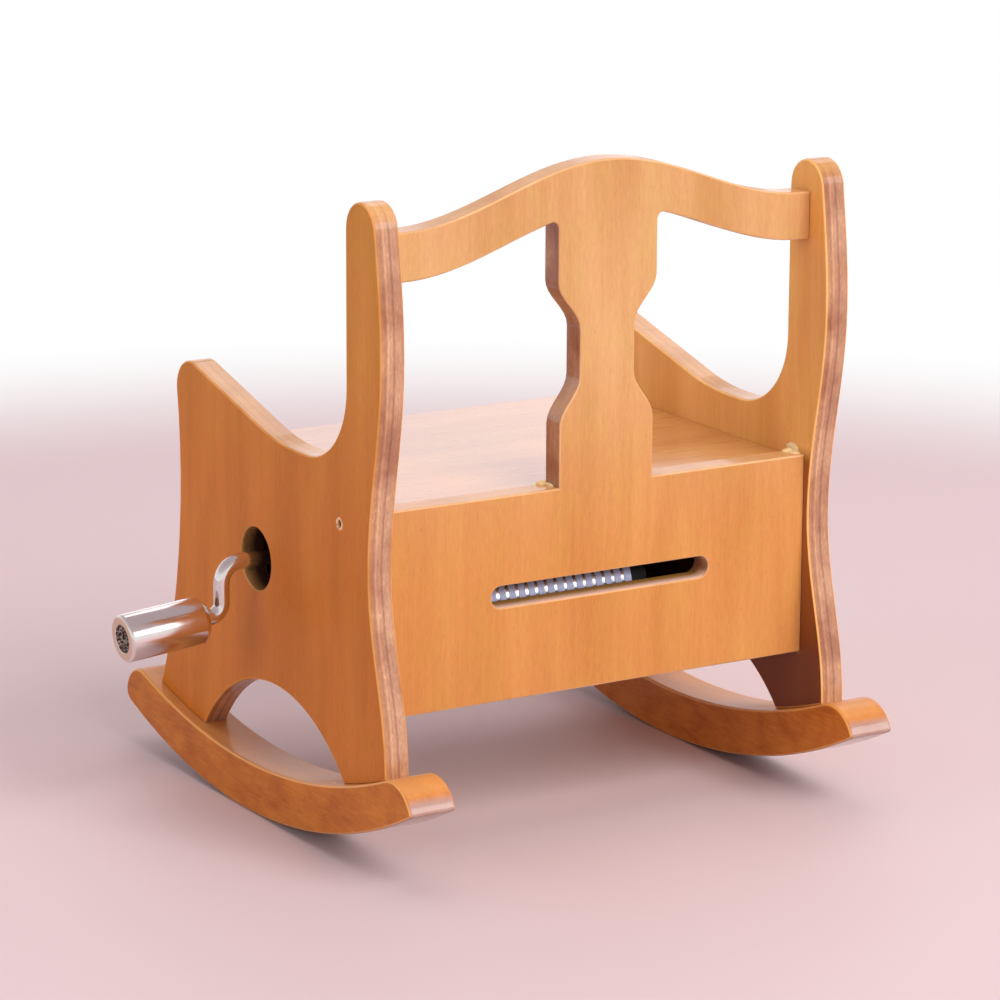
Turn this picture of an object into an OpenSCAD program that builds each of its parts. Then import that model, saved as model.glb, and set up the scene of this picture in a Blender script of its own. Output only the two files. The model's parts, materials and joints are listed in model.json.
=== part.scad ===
// Miniature plywood rocking chair with a hand-cranked cylinder music movement in the box
// under its seat. Millimetres. The chair looks towards -Y and its crank is on the +X side.
// Z = 0 is the table, and Y = 0 is straight above the lowest point of the rockers.

/* [Plywood] */
// Clear width between the two side panels
inner_w = 65; // [62:0.5:75]
// Thickness of the side, back, seat and front boards
ply = 3.6; // [3:0.1:4.5]
// Thickness of the bottom board that carries the movement
floor_ply = 3; // [2.5:0.1:4]

/* [Rockers] */
// Radius of the running face
rocker_r = 96.7; // [85:0.1:115]
// Radius of the upper face, flatter, so that the ends are thinner
rocker_top_r = 103.2; // [100:0.1:125]
// Height of a rocker at its middle
rocker_h = 6.95; // [6.5:0.05:8]
// Width of a rocker
rocker_w = 6.9; // [4.5:0.1:8]
// Angle from the lowest point to the front end
rocker_front = 22; // [20:0.05:24]
// Angle from the lowest point to the back end
rocker_back = 28.05; // [25:0.05:29]
// Radius of the rounded upper corner at the back end
rocker_nose = 5.2; // [3:0.1:5.2]
// Radius of the rounded upper corner at the front end
rocker_tip = 4.2; // [3:0.1:4.4]
// Radius of the rounded lower corner at the front end
rocker_toe = 1.8; // [0.5:0.1:1.8]
// Radius of the rounded lower corner at the back end
rocker_heel = 0.5; // [0.2:0.1:0.8]

/* [Box under the seat] */
// Height of the underside of the box above the table
box_z = 19.7; // [18.5:0.1:23]
// Height of the solid lower part of the back panel
apron_h = 27.8; // [26:0.1:32]
// Step from the top of that part down to the seat
seat_step = 0.7; // [0.2:0.1:1.5]
// Back face of the back panel, behind the lowest point of the rockers
back_y = 30.8; // [29:0.1:32.5]
// Depth of the box from its front face to its back face
box_depth = 51; // [50:0.5:53]
// How far the bottom board is set up into the box
floor_inset = 0.3; // [0:0.1:1]

/* [Side panel] */
// Narrowest place of the front edge, in front of the rockers' lowest point
front_waist_y = 21.2; // [20.4:0.1:22.5]
// Height of that place above the underside of the box
front_waist_h = 23.3; // [18:0.1:27]
// Radius of the long hollow in the front edge
front_hollow_r = 82; // [70:1:150]
// Height of the top of the arm's tip above the seat
arm_tip_h = 11.9; // [10:0.1:15]
// Radius of the arm's tip
arm_tip_r = 4.2; // [2.5:0.1:5]
// Height of the lowest place of the arm above the seat
arm_low_h = 5.5; // [4:0.1:7]
// Radius of the arm's long hollow
arm_hollow_r = 40; // [30:1:60]
// Radius of the hollow between arm and post
post_hollow_r = 11; // [8:0.1:13]
// Length of the level stretch between those two hollows
arm_level = 2.7; // [0:0.1:4]
// Front edge of the post, behind the rockers' lowest point
post_front_y = 26; // [25:0.1:27]
// Radius of the post's round top
post_top_r = 3.8; // [3.4:0.1:4.1]
// Height of the post's top above the seat
post_h = 41.1; // [36:0.1:48]
// Widest place of the post's back edge, behind the back panel
post_bulge = 4.3; // [3.9:0.1:5.5]
// Height of that place above the underside of the box
post_bulge_h = 48.3; // [42:0.1:52]
// Narrowest place of the back edge, behind the back panel
back_waist = 0.95; // [0.2:0.05:2]
// Height of that place above the underside of the box
back_waist_h = 20; // [15:0.1:25]
// Back edge of the foot, behind the back panel
back_foot = 5.35; // [3:0.05:6.5]
// Radius of the arch between the two feet
arch_r = 25.3; // [22:0.1:26]
// Place of the arch, behind the rockers' lowest point
arch_y = 6; // [4.5:0.1:7.5]
// Wood left between the arch and the underside of the box
arch_gap = 1; // [0.4:0.1:2]
// Diameter of the crank's hole in the side panel
crank_hole_d = 8.7; // [6:0.1:11]

/* [Back panel] */
// Height of the crest rail, the same all along it
crest_h = 6.5; // [5:0.1:8]
// Top of the crest rail at its ends, above the solid lower part
crest_end_h = 36.2; // [32:0.1:40]
// How much higher the middle of the crest is than its ends
crest_rise = 7; // [4:0.1:9]
// Distance from the middle to where the crest runs out level
crest_half = 30.8; // [28:0.1:31]
// Sideways place of the splat's middle and of the crest's highest point
splat_x = -0.55; // [-1.5:0.05:1.5]
// Half width of the splat at its upper end
splat_wide = 7.65; // [6:0.05:9]
// Half width of the splat at its lower end
splat_low = 7.3; // [6:0.05:9]
// Half width of the splat at its waist
splat_waist = 4.25; // [3:0.05:5.5]
// Height of the splat's waist above the solid lower part
splat_waist_h = 17.8; // [14:0.1:20]
// Half height of the straight stretch at the waist
splat_flat = 3.2; // [2:0.1:4]
// Half height of the whole waist
splat_swing = 9.6; // [7:0.1:11]
// Radius in the windows' inner upper corners
window_fillet = 0.9; // [0.4:0.1:1.5]
// Length of the slot in front of the cylinder
slot_l = 34; // [26:0.5:44]
// Height of the slot
slot_h = 2.95; // [2:0.05:4]
// Height of the slot above the cylinder's axis
slot_rise = 3.7; // [2:0.1:4.5]

/* [Cylinder] */
// Number of notes
notes = 18; // [15:1:18]
// Distance from one note to the next
note_pitch = 1.51; // [1.4:0.01:1.55]
// Radius of the cylinder without its pins
drum_r = 6.25; // [6:0.05:6.5]
// Wall of the cylinder's tube
drum_wall = 0.7; // [0.65:0.05:1.2]
// Width of the groove between two notes
groove_w = 0.55; // [0.4:0.05:0.7]
// Depth of the groove
groove_d = 0.35; // [0.2:0.05:0.4]
// Plain band at the far end of the cylinder
drum_band = 1.35; // [1:0.05:2.5]
// Height of a pin above the cylinder
pin_h = 0.6; // [0.4:0.05:0.8]
// Diameter of a pin
pin_d = 0.5; // [0.4:0.05:0.6]
// Number of beats that the tune has around the cylinder
beats = 26; // [16:1:30]
// Part of the turn that carries the tune, in degrees
tune_arc = 292; // [270:1:310]
// Diameter of the arbor
arbor_d = 2.4; // [2:0.1:2.8]
// Gap between the cylinder and the back panel
drum_back_gap = 2.05; // [1.2:0.05:3]
// Gap between the cylinder and the bottom board
drum_floor_gap = 0.95; // [0.7:0.05:2]
// Distance from the cylinder's geared end to the crank-side panel
drum_side_gap = 12.55; // [12.2:0.05:13.5]

/* [Gears] */
// Module of all four gears
gear_m = 0.5; // [0.48:0.01:0.51]
// Teeth of the crank's pinion
crank_teeth = 10; // [9:1:11]
// Teeth of the large gear between crank and cylinder
wheel_teeth = 28; // [26:1:29]
// Teeth of the small gear on the same piece
pinion_teeth = 12; // [11:1:13]
// Teeth of the cylinder's gear
drum_teeth = 25; // [23:1:25]
// Width of the teeth
gear_w = 1.8; // [1.5:0.1:2]
// Direction from the cylinder's axis to the middle gear
wheel_dir = 156.4; // [150:0.1:160]
// Direction from the middle gear's axis to the crank's
crank_dir = 172.8; // [168:0.1:178]
// Sideways play between teeth in mesh
backlash = 0.08; // [0.05:0.01:0.12]

/* [Comb] */
// Thickness of the comb's body
comb_t = 1.4; // [1:0.1:1.8]
// Thickness of its teeth
tooth_t = 0.8; // [0.5:0.05:0.9]
// Slit between two teeth
slit_w = 0.45; // [0.3:0.05:0.6]
// Length of the highest note's tooth
tooth_short = 11.5; // [10:0.1:13]
// How much longer the lowest note's tooth is
tooth_extra = 3.5; // [2:0.1:5]
// Depth of the body behind the longest tooth
comb_body = 7.5; // [6.5:0.05:9]
// Width of a tooth's tip
tooth_tip_w = 0.5; // [0.4:0.05:0.7]
// Length over which a tooth narrows to its tip
tooth_taper = 0.9; // [0.5:0.1:1.5]
// Number of low teeth with a weight under the tip
weights = 6; // [3:1:8]
// Height of a weight
weight_h = 1.8; // [1:0.1:2.2]
// Length of a weight
weight_l = 3; // [2:0.1:4]
// Distance from the weights to the teeth's tips
weight_set = 1.2; // [0.8:0.1:2]

/* [Frame of the movement] */
// Thickness of the bedplate
bed_t = 2.5; // [2:0.1:3]
// Gap between the bedplate and the front board
bed_gap = 0.6; // [0.3:0.1:1.5]
// How far the bedplate reaches behind the cylinder's axis
bed_behind = 5; // [4.8:0.1:6]
// Thickness of the bearing plate on the crank side
plate_t = 2.5; // [2:0.1:3]
// Thickness of the bracket at the far end of the cylinder
bracket_t = 3; // [2.5:0.1:3.5]
// Half width of that bracket
bracket_r = 4.6; // [4.6:0.1:4.8]
// Thickness of the feet of both brackets
foot_t = 1.5; // [1:0.1:2]
// Radius of material around each bearing
bearing_wall = 3.6; // [3:0.1:3.8]
// Length of the crank's bearing beyond the plate
boss_l = 3.2; // [2:0.1:3.4]
// Diameter of the middle gear's stud
stud_d = 1.9; // [1.6:0.1:2.2]

/* [Crank] */
// Diameter of the crank's wire
wire_d = 2.2; // [2.15:0.05:2.6]
// Distance from the shaft to the knob's pin, measured at the arm
crank_r = 7.05; // [6.5:0.05:9]
// How much the pin leans down from level, in degrees
pin_lean = 5.2; // [0:0.2:8]
// Gap between the side panel and the middle of the arm's wire
arm_gap = 5.2; // [4:0.1:7]
// Radius of the bend above
bend_top_r = 2.8; // [2.5:0.1:3.8]
// Radius of the bend at the knob
bend_low_r = 1.9; // [1.6:0.1:2.6]
// Diameter of the knob's pin, turned down from the wire
knob_pin_d = 2; // [1.5:0.05:2.1]
// Diameter of the knob
knob_d = 6.5; // [5.5:0.1:8]
// Length of the knob
knob_l = 12.1; // [10:0.1:16]
// Gap between the bend and the knob
knob_gap = 1.1; // [0.4:0.1:2.5]
// Chamfer on the knob's inner end
knob_chamfer = 0.8; // [0.2:0.1:1.2]
// Chamfer on its outer end
knob_edge = 0.3; // [0.1:0.1:0.6]
// Thickness of the ring that keeps the knob on
ring_t = 0.9; // [0.6:0.1:1.2]
// Thickness of the collar that keeps the shaft in
collar_t = 0.9; // [0.6:0.1:1.2]
// Diameter of the mouth in the knob's outer end
mouth_d = 3.9; // [3.4:0.1:4.6]
// Depth of the mouth
mouth_depth = 4; // [3:0.1:6]

/* [Clearances and fasteners] */
// Radial clearance of every shaft that turns
run_gap = 0.05; // [0.02:0.01:0.08]
// End play of every piece that turns
end_gap = 0.4; // [0.2:0.05:0.5]
// Gap between the pins' path and the comb's tips
tip_gap = 0.15; // [0.1:0.05:0.3]
// Diameter of the small screws' shanks
screw_d = 1.8; // [1.6:0.1:2]
// Diameter of the small screws' heads
screw_head_d = 3.2; // [2.8:0.1:3.4]
// Height of the screws' heads
screw_head_h = 1.1; // [0.8:0.1:1.4]
// Diameter of the comb screws' shanks
comb_screw_d = 2.5; // [2:0.1:2.8]
// Diameter of the comb screws' heads
comb_head_d = 4.2; // [3.6:0.1:4.6]
// Height of the comb screws' heads
comb_head_h = 1.4; // [1:0.1:1.8]
// Diameter of the nails in the side panels
nail_d = 1; // [0.8:0.1:1.3]
// Length of the nails
nail_l = 9; // [7:0.5:12]
// Depth of the nails below the surface
nail_sink = 0.4; // [0.2:0.1:0.8]

/* [Hidden] */
$fn = 64;
eps = 0.01;
// How far a cutter reaches past the surface it cuts
over = 1;

// Heights of the box
apron_top = box_z + apron_h;
seat_z = apron_top - seat_step;
seat_under = seat_z - ply;
floor_z = box_z + floor_inset;
floor_top = floor_z + floor_ply;
// Depths of the box
front_y = back_y - box_depth;
inner_front = front_y + ply;
inner_back = back_y - ply;
// Widths
half_w = inner_w / 2;
outer_x = half_w + ply;
rocker_x = half_w + ply / 2 - rocker_w / 2;
rocker_top_z = rocker_h + rocker_top_r;

// Axes of the movement as [y, z]
drum_axis = [inner_back - drum_back_gap - drum_r, floor_top + drum_floor_gap + drum_r];
wheel_axis = drum_axis + gear_m * (drum_teeth + pinion_teeth) / 2 * [cos(wheel_dir), sin(wheel_dir)];
crank_axis = wheel_axis + gear_m * (wheel_teeth + crank_teeth) / 2 * [cos(crank_dir), sin(crank_dir)];
// Places of the movement along X, from the crank side inwards
drum_x1 = half_w - drum_side_gap;
drum_x0 = drum_x1 - notes * note_pitch - drum_band;
gear_x = drum_x1 + end_gap;
wheel_x = gear_x + gear_w + end_gap;
plate_x = wheel_x + gear_w + end_gap;
plate_x1 = plate_x + plate_t;
bracket_x = drum_x0 - end_gap - bracket_t;
// Bedplate
bed_top = floor_top + bed_t;
foot_edge = 0.3;
foot_w = screw_head_d + 2 * foot_edge;
bed_x0 = bracket_x - foot_w;
bed_x1 = plate_x1 + foot_w;
arm_x0 = bracket_x + bracket_t + end_gap / 2;
arm_x1 = plate_x - end_gap / 2;
// Comb
pin_path_r = drum_r + pin_h;
tip_y = drum_axis[0] - pin_path_r - tip_gap;
comb_z = drum_axis[1] - comb_t / 2;
comb_y = tip_y - tooth_short - tooth_extra - comb_body;
comb_x0 = drum_x1 - notes * note_pitch;
comb_w = notes * note_pitch;
land_short = 0.5;
land_y1 = comb_y + comb_body - land_short;
comb_screw_y = comb_y + comb_body / 2;
comb_screw_share = 0.22;
comb_screw_xs = [for (s = [comb_screw_share, 1 - comb_screw_share]) comb_x0 + comb_w * s];
bed_y0 = inner_front + bed_gap;
bed_y1 = drum_axis[0] + bed_behind;
open_gap = 0.8;
open_y0 = tip_y - open_gap;
// Screws of the frame as [x, y]
gear_screw_shift = 1;
drum_screw_shift = 3;
gear_screws = [for (y = [crank_axis[0], drum_axis[0] + gear_screw_shift])
    [plate_x1 + foot_w / 2, y]];
drum_screws = [for (s = [-1, 1])
    [bracket_x - foot_w / 2, drum_axis[0] + drum_screw_shift * s]];
mount_inset = 3;
mount_places = [
    [bed_x0 + mount_inset, bed_y0 + mount_inset],
    [bed_x1 - mount_inset, bed_y0 + mount_inset],
    [(arm_x0 + arm_x1) / 2, open_y0 - mount_inset]
];
mount_head_h = 1.1;
mount_head_r = screw_d / 2 + mount_head_h;
// Slot of a screw: its width, and its depth as a share of the head's height
drive_w = 0.5;
drive_share = 0.45;
// Crank
arm_x = outer_x + arm_gap;
shaft_x0 = wheel_x - end_gap / 2;
bend_low_l = bend_low_r * tan(45 - pin_lean / 2);
// Places along the pin, from the middle of the arm
knob_x = bend_low_l + knob_gap;
shoulder_x = knob_x + knob_l - mouth_depth;
ring_x = shoulder_x + end_gap / 2;
ring_gap = 0.25;
// The pin starts a little inside the bend and ends a little beyond its ring
pin_root = 0.3;
pin_x1 = ring_x + ring_t + pin_root;
boss_x1 = plate_x1 + boss_l;
boss_r = bearing_wall - 0.8;
collar_wall = 1.2;
// Cylinder's plug and the middle gear's stud
plug_l = 2;
stud_head_t = 0.6;
stud_head_wall = 0.8;
stud_head_x = gear_x - end_gap / 2 - stud_head_t;
nail_inset = 3;
nail_y = inner_back - nail_inset;
// Teeth of a wheel end short of where a small pinion's hollow flank would foul them
wheel_add = 0.65 * gear_m;
pinion_add = gear_m;
gear_clear = 0.1;
// The tune: middle and swing of the melody as shares of the notes, its step from beat to
// beat in degrees, and the direction of the part of the cylinder without pins
tune_middle = 0.62;
tune_swing = 0.36;
tune_step = 67;
blank_dir = 20;

// ---- curves -------------------------------------------------------------------------

// Points on an arc around c from angle a0 to angle a1
function arc(c, r, a0, a1, n) =
    [for (i = [0:n]) let (a = a0 + (a1 - a0) * i / n) c + r * [cos(a), sin(a)]];

// Points on a soft S from p to q that leaves and arrives along the second coordinate
function swing(p, q, n) =
    [for (i = [0:n]) let (t = i / n)
        [p[0] + (q[0] - p[0]) * (1 - cos(180 * t)) / 2, p[1] + (q[1] - p[1]) * t]];

// Direction of the line that touches the arm's tip from above and the arm's hollow from below
function tangent_dir(tip, hollow, reach) =
    let (d = hollow - tip) atan2(d[1], d[0]) + acos(reach / norm(d));

// Height of the crest's upper edge at x from its highest point
function crest_z(x) =
    apron_top + crest_end_h
    + (abs(x) < crest_half ? crest_rise * (1 + cos(180 * x / crest_half)) / 2 : 0);

// Involute of an angle, in degrees
function inv(a) = tan(a) * 180 / PI - a;

// Outline of a gear with one tooth centred on the first coordinate
function gear_points(teeth, add, ded) =
    let (
        pressure = 20,
        pitch_r = gear_m * teeth / 2,
        base_r = pitch_r * cos(pressure),
        root_r = pitch_r - ded,
        low_r = max(base_r, root_r),
        tip_r = pitch_r + add,
        half = 90 / teeth - backlash / 4 / pitch_r * 180 / PI,
        flank = [for (i = [0:2]) low_r + (tip_r - low_r) * i / 2],
        spread = [for (r = flank) half + inv(pressure) - inv(acos(min(1, base_r / r)))]
    )
    [for (k = [0:teeth - 1]) let (mid = 360 * k / teeth)
        each concat(
            [root_r * [cos(mid - spread[0]), sin(mid - spread[0])]],
            [for (i = [0:2]) flank[i] * [cos(mid - spread[i]), sin(mid - spread[i])]],
            [for (i = [2:-1:0]) flank[i] * [cos(mid + spread[i]), sin(mid + spread[i])]],
            [root_r * [cos(mid + spread[0]), sin(mid + spread[0])]])];

// ---- placing ------------------------------------------------------------------------

// A flat shape drawn in Y and Z, from x to x + t
module across(x, t) {
    translate([x, 0, 0]) rotate([90, 0, 90]) linear_extrude(t) children();
}

// A round bar along X around an axis [y, z]
module bar(axis, x0, x1, r) {
    translate([x0, axis[0], axis[1]]) rotate([0, 90, 0]) cylinder(h = x1 - x0, r = r);
}

// A flat shape drawn in X and Y, from z to z + t
module level(z, t) {
    translate([0, 0, z]) linear_extrude(t) children();
}

// A disc in a flat shape
module disc(c, r) {
    translate(c) circle(r = r);
}

// ---- side panels and rockers --------------------------------------------------------

module side_outline() {
    front_c = [-front_waist_y - front_hollow_r, box_z + front_waist_h];
    tip_z = seat_z + arm_tip_h - arm_tip_r;
    tip_edge = front_c[0] + sqrt(pow(front_hollow_r, 2) - pow(tip_z - front_c[1], 2));
    tip = [tip_edge + arm_tip_r, tip_z];
    low_z = seat_z + arm_low_h;
    post_c = [post_front_y - post_hollow_r, low_z + post_hollow_r];
    hollow = [post_c[0] - arm_level, low_z + arm_hollow_r];
    lean = tangent_dir(tip, hollow, arm_tip_r + arm_hollow_r);
    top = [post_front_y + post_top_r, seat_z + post_h - post_top_r];
    bulge = [back_y + post_bulge, box_z + post_bulge_h];
    waist = [back_y + back_waist, box_z + back_waist_h];
    foot_y = back_y + back_foot;
    foot = [foot_y, rocker_top_z - sqrt(pow(rocker_top_r, 2) - pow(foot_y, 2))];
    front_low = asin((front_c[1] - rocker_h) / front_hollow_r);
    front_high = asin((tip_z - front_c[1]) / front_hollow_r);
    top_edge = top[0] + post_top_r;
    steps = 6;
    intersection() {
        polygon(concat(
            [[foot[0], rocker_h]],
            swing(foot, waist, 2 * steps),
            swing(waist, bulge, 2 * steps),
            [for (i = [1:steps]) [top_edge + (bulge[0] - top_edge) * cos(90 * i / steps),
                                  bulge[1] + (top[1] - bulge[1]) * i / steps]],
            arc(top, post_top_r, 0, 180, 14),
            arc(post_c, post_hollow_r, 0, -90, 2 * steps),
            arc(hollow, arm_hollow_r, -90, lean - 180, 5),
            arc(tip, arm_tip_r, lean, 180, 9),
            arc(front_c, front_hollow_r, front_high, -front_low, 2 * steps)));
        disc([0, rocker_top_z], rocker_top_r);
    }
}

module side_panel(x) {
    difference() {
        across(x, ply) difference() {
            side_outline();
            disc([arch_y, box_z - arch_gap - arch_r], arch_r);
        }
        children();
    }
}

// The nail's path from the panel's outer face, which is at x = 0 here, towards -X
module nail_bore() {
    translate([0, nail_y, seat_under + ply / 2]) rotate([0, -90, 0]) {
        cylinder(h = nail_l + nail_sink, d = nail_d);
    }
}

module side_panel_crank() {
    color([0.78, 0.46, 0.22])
        side_panel(half_w) {
            bar(crank_axis, half_w - over, outer_x + over, crank_hole_d / 2);
            translate([outer_x, 0, 0]) nail_bore();
        }
}

module side_panel_far() {
    color([0.78, 0.46, 0.22])
        side_panel(-outer_x) {
            mirror([1, 0, 0]) translate([outer_x, 0, 0]) nail_bore();
        }
}

// One end, turned upright around the running face's centre: the end face is the line x = 0.
// The upper corner's circle touches that line and the upper face, the lower corner's circle
// touches that line and the running face.
module rocker_end(turn, nose_r, toe_r) {
    top_c = (rocker_top_z - rocker_r) * [sin(turn), cos(turn)];
    reach = rocker_top_r + nose_r;
    nose = [-nose_r, top_c[1] - sqrt(pow(reach, 2) - pow(nose_r + top_c[0], 2))];
    touch = top_c + (nose - top_c) * rocker_top_r / reach;
    low_reach = rocker_r - toe_r;
    toe = [-toe_r, -sqrt(pow(low_reach, 2) - pow(toe_r, 2))];
    low_touch = toe * rocker_r / low_reach;
    translate([0, nose[1] - 2 * rocker_h]) square(3 * rocker_h);
    difference() {
        translate([touch[0], nose[1]]) square([over - touch[0], 3 * rocker_h]);
        disc(nose, nose_r);
    }
    difference() {
        translate([low_touch[0], toe[1] - rocker_h]) square([over - low_touch[0], rocker_h]);
        disc(toe, toe_r);
    }
}

module rocker(x) {
    spare = 5;
    across(x, rocker_w) translate([0, rocker_r]) difference() {
        disc([0, 0], rocker_r);
        disc([0, rocker_top_z - rocker_r], rocker_top_r);
        translate([-2 * rocker_r, -rocker_r * cos(rocker_back + spare)]) square(4 * rocker_r);
        rotate(rocker_back) rocker_end(rocker_back, rocker_nose, rocker_heel);
        mirror([1, 0]) rotate(rocker_front) rocker_end(rocker_front, rocker_tip, rocker_toe);
    }
}

module rocker_crank() { color([0.80, 0.52, 0.22]) rocker(rocker_x); }
module rocker_far() { color([0.80, 0.52, 0.22]) rocker(-rocker_x - rocker_w); }

// ---- boards of the box --------------------------------------------------------------

// The opening on the +X side of the splat, measured from the splat's middle
module window() {
    waist_z = apron_top + splat_waist_h;
    corner_x = splat_wide + window_fillet;
    corner_z = crest_z(corner_x) - crest_h - window_fillet;
    far_x = half_w + abs(splat_x) + over;
    steps = 16;
    polygon(concat(
        [[far_x, apron_top], [splat_low, apron_top]],
        swing([splat_low, waist_z - splat_swing], [splat_waist, waist_z - splat_flat], 8),
        swing([splat_waist, waist_z + splat_flat], [splat_wide, waist_z + splat_swing], 8),
        arc([corner_x, corner_z], window_fillet, 180, 90, 5),
        [for (i = [1:steps]) let (x = corner_x + (far_x - corner_x) * i / steps)
            [x, crest_z(x) - crest_h]]));
}

module back_outline() {
    steps = 40;
    difference() {
        polygon(concat(
            [[-half_w, box_z], [half_w, box_z]],
            [for (i = [0:steps]) let (x = half_w - inner_w * i / steps) [x, crest_z(x - splat_x)]]));
        for (m = [0, 1]) translate([splat_x, 0]) mirror([m, 0]) window();
    }
}

module slot_outline() {
    reach = (slot_l - slot_h) / 2;
    translate([-reach, -slot_h / 2]) square([2 * reach, slot_h]);
    for (s = [-1, 1]) disc([s * reach, 0], slot_h / 2);
}

module back_panel() {
    color([0.92, 0.61, 0.35])
        translate([0, back_y, 0]) rotate([90, 0, 0]) linear_extrude(ply) difference() {
            back_outline();
            translate([0, drum_axis[1] + slot_rise]) slot_outline();
        }
}

module seat_board() {
    color([0.86, 0.55, 0.28]) difference() {
        translate([-half_w, front_y, seat_under]) cube([inner_w, inner_back - front_y, ply]);
        for (m = [0, 1]) mirror([m, 0, 0]) translate([outer_x, 0, 0]) nail_bore();
    }
}

module front_board() {
    color([0.84, 0.54, 0.27])
        translate([-half_w, front_y, box_z]) cube([inner_w, ply, seat_under - box_z]);
}

module bottom_board() {
    color([0.80, 0.52, 0.26]) difference() {
        translate([-half_w, inner_front, floor_z])
            cube([inner_w, inner_back - inner_front, floor_ply]);
        for (p = mount_places) mount_screw_solid(p);
    }
}

module nails() {
    color([0.45, 0.43, 0.41])
        for (m = [0, 1]) mirror([m, 0, 0])
            translate([outer_x - nail_sink, nail_y, seat_under + ply / 2])
                rotate([0, -90, 0]) cylinder(h = nail_l, d = nail_d);
}

// ---- frame of the movement ----------------------------------------------------------

// A screw from above: shank down from z, head on top of it
module top_screw(p, z, shank_d, shank_l, head_d, head_h) {
    translate([p[0], p[1], z]) difference() {
        union() {
            translate([0, 0, -shank_l]) cylinder(h = shank_l, d = shank_d);
            cylinder(h = head_h, d = head_d);
        }
        translate([-head_d, -drive_w / 2, head_h * (1 - drive_share)])
            cube([2 * head_d, drive_w, head_h]);
    }
}

// A countersunk screw from below through the bottom board into the bedplate, without slot
module mount_screw_solid(p) {
    translate([p[0], p[1], floor_z]) {
        cylinder(h = mount_head_h, r1 = mount_head_r, r2 = screw_d / 2);
        cylinder(h = floor_ply + bed_t, d = screw_d);
    }
}

module mount_screws() {
    color([0.75, 0.75, 0.76])
        for (p = mount_places) difference() {
            mount_screw_solid(p);
            translate([p[0] - mount_head_r, p[1] - drive_w / 2, floor_z - eps])
                cube([2 * mount_head_r, drive_w, mount_head_h * drive_share]);
        }
}

module bedplate() {
    color([0.72, 0.70, 0.66]) difference() {
        union() {
            level(floor_top, bed_t) difference() {
                translate([bed_x0, bed_y0]) square([bed_x1 - bed_x0, bed_y1 - bed_y0]);
                translate([arm_x0, open_y0]) square([arm_x1 - arm_x0, bed_y1]);
            }
            translate([bed_x0, bed_y0, bed_top])
                cube([bed_x1 - bed_x0, land_y1 - bed_y0, comb_z - bed_top]);
        }
        for (p = concat(gear_screws, drum_screws, mount_places))
            translate([p[0], p[1], floor_top - eps]) cylinder(h = bed_t + 2 * eps, d = screw_d);
        for (x = comb_screw_xs)
            translate([x, comb_screw_y, bed_top]) cylinder(h = comb_z, d = comb_screw_d);
    }
}

module drum_bracket() {
    color([0.12, 0.12, 0.13]) difference() {
        union() {
            across(bracket_x, bracket_t) {
                disc(drum_axis, bracket_r);
                translate([drum_axis[0] - bracket_r, bed_top])
                    square([2 * bracket_r, drum_axis[1] - bed_top]);
            }
            translate([bed_x0, drum_axis[0] - bracket_r, bed_top])
                cube([bracket_x - bed_x0 + eps, 2 * bracket_r, foot_t]);
        }
        bar(drum_axis, bracket_x - over, bracket_x + bracket_t + over, arbor_d / 2 + run_gap);
        for (p = drum_screws)
            translate([p[0], p[1], bed_top - eps]) cylinder(h = foot_t + 2 * eps, d = screw_d);
    }
}

module gear_bracket() {
    low = [crank_axis[0] - bearing_wall, bed_top];
    high = drum_axis[0] + bearing_wall;
    color([0.70, 0.69, 0.66]) difference() {
        union() {
            across(plate_x, plate_t) {
                polygon([low, [high, bed_top], [high, drum_axis[1]], drum_axis,
                         wheel_axis + [0, bearing_wall], crank_axis + [0, bearing_wall],
                         crank_axis, [low[0], crank_axis[1]]]);
                for (c = [crank_axis, wheel_axis, drum_axis]) disc(c, bearing_wall);
            }
            bar(crank_axis, plate_x1 - eps, boss_x1, boss_r);
            translate([plate_x1 - eps, low[0], bed_top])
                cube([foot_w + eps, high - low[0], foot_t]);
        }
        bar(drum_axis, plate_x - over, plate_x1 + over, arbor_d / 2 + run_gap);
        bar(crank_axis, plate_x - over, boss_x1 + over, wire_d / 2 + run_gap);
        bar(wheel_axis, plate_x - over, plate_x1 + over, stud_d / 2);
        for (p = gear_screws)
            translate([p[0], p[1], bed_top - eps]) cylinder(h = foot_t + 2 * eps, d = screw_d);
    }
}

module bracket_screws() {
    color([0.80, 0.80, 0.82])
        for (p = concat(gear_screws, drum_screws))
            top_screw(p, bed_top + foot_t, screw_d, foot_t + bed_t, screw_head_d, screw_head_h);
}

// ---- comb ---------------------------------------------------------------------------

// Root of the slit to the right of tooth k, counted from the lowest note
function root_y(k) = tip_y - tooth_short - tooth_extra * (1 - k / (notes - 1));

module comb_outline() {
    wide = note_pitch - tooth_tip_w;
    difference() {
        translate([comb_x0, comb_y]) square([comb_w, tip_y - comb_y]);
        for (k = [0:notes]) let (x = comb_x0 + k * note_pitch, y0 = root_y(k - 0.5))
            polygon([[x - slit_w / 2, y0], [x + slit_w / 2, y0],
                     [x + slit_w / 2, tip_y - tooth_taper], [x + wide / 2, tip_y],
                     [x + wide / 2, tip_y + over], [x - wide / 2, tip_y + over],
                     [x - wide / 2, tip_y], [x - slit_w / 2, tip_y - tooth_taper]]);
        for (x = comb_screw_xs) disc([x, comb_screw_y], comb_screw_d / 2);
    }
}

module comb() {
    color([0.82, 0.83, 0.85]) difference() {
        level(comb_z, comb_t) comb_outline();
        level(comb_z - over, comb_t - tooth_t + over)
            polygon([[comb_x0 - over, root_y(-1)], [comb_x0 + comb_w + over, root_y(notes)],
                     [comb_x0 + comb_w + over, tip_y + over], [comb_x0 - over, tip_y + over]]);
    }
}

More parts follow.
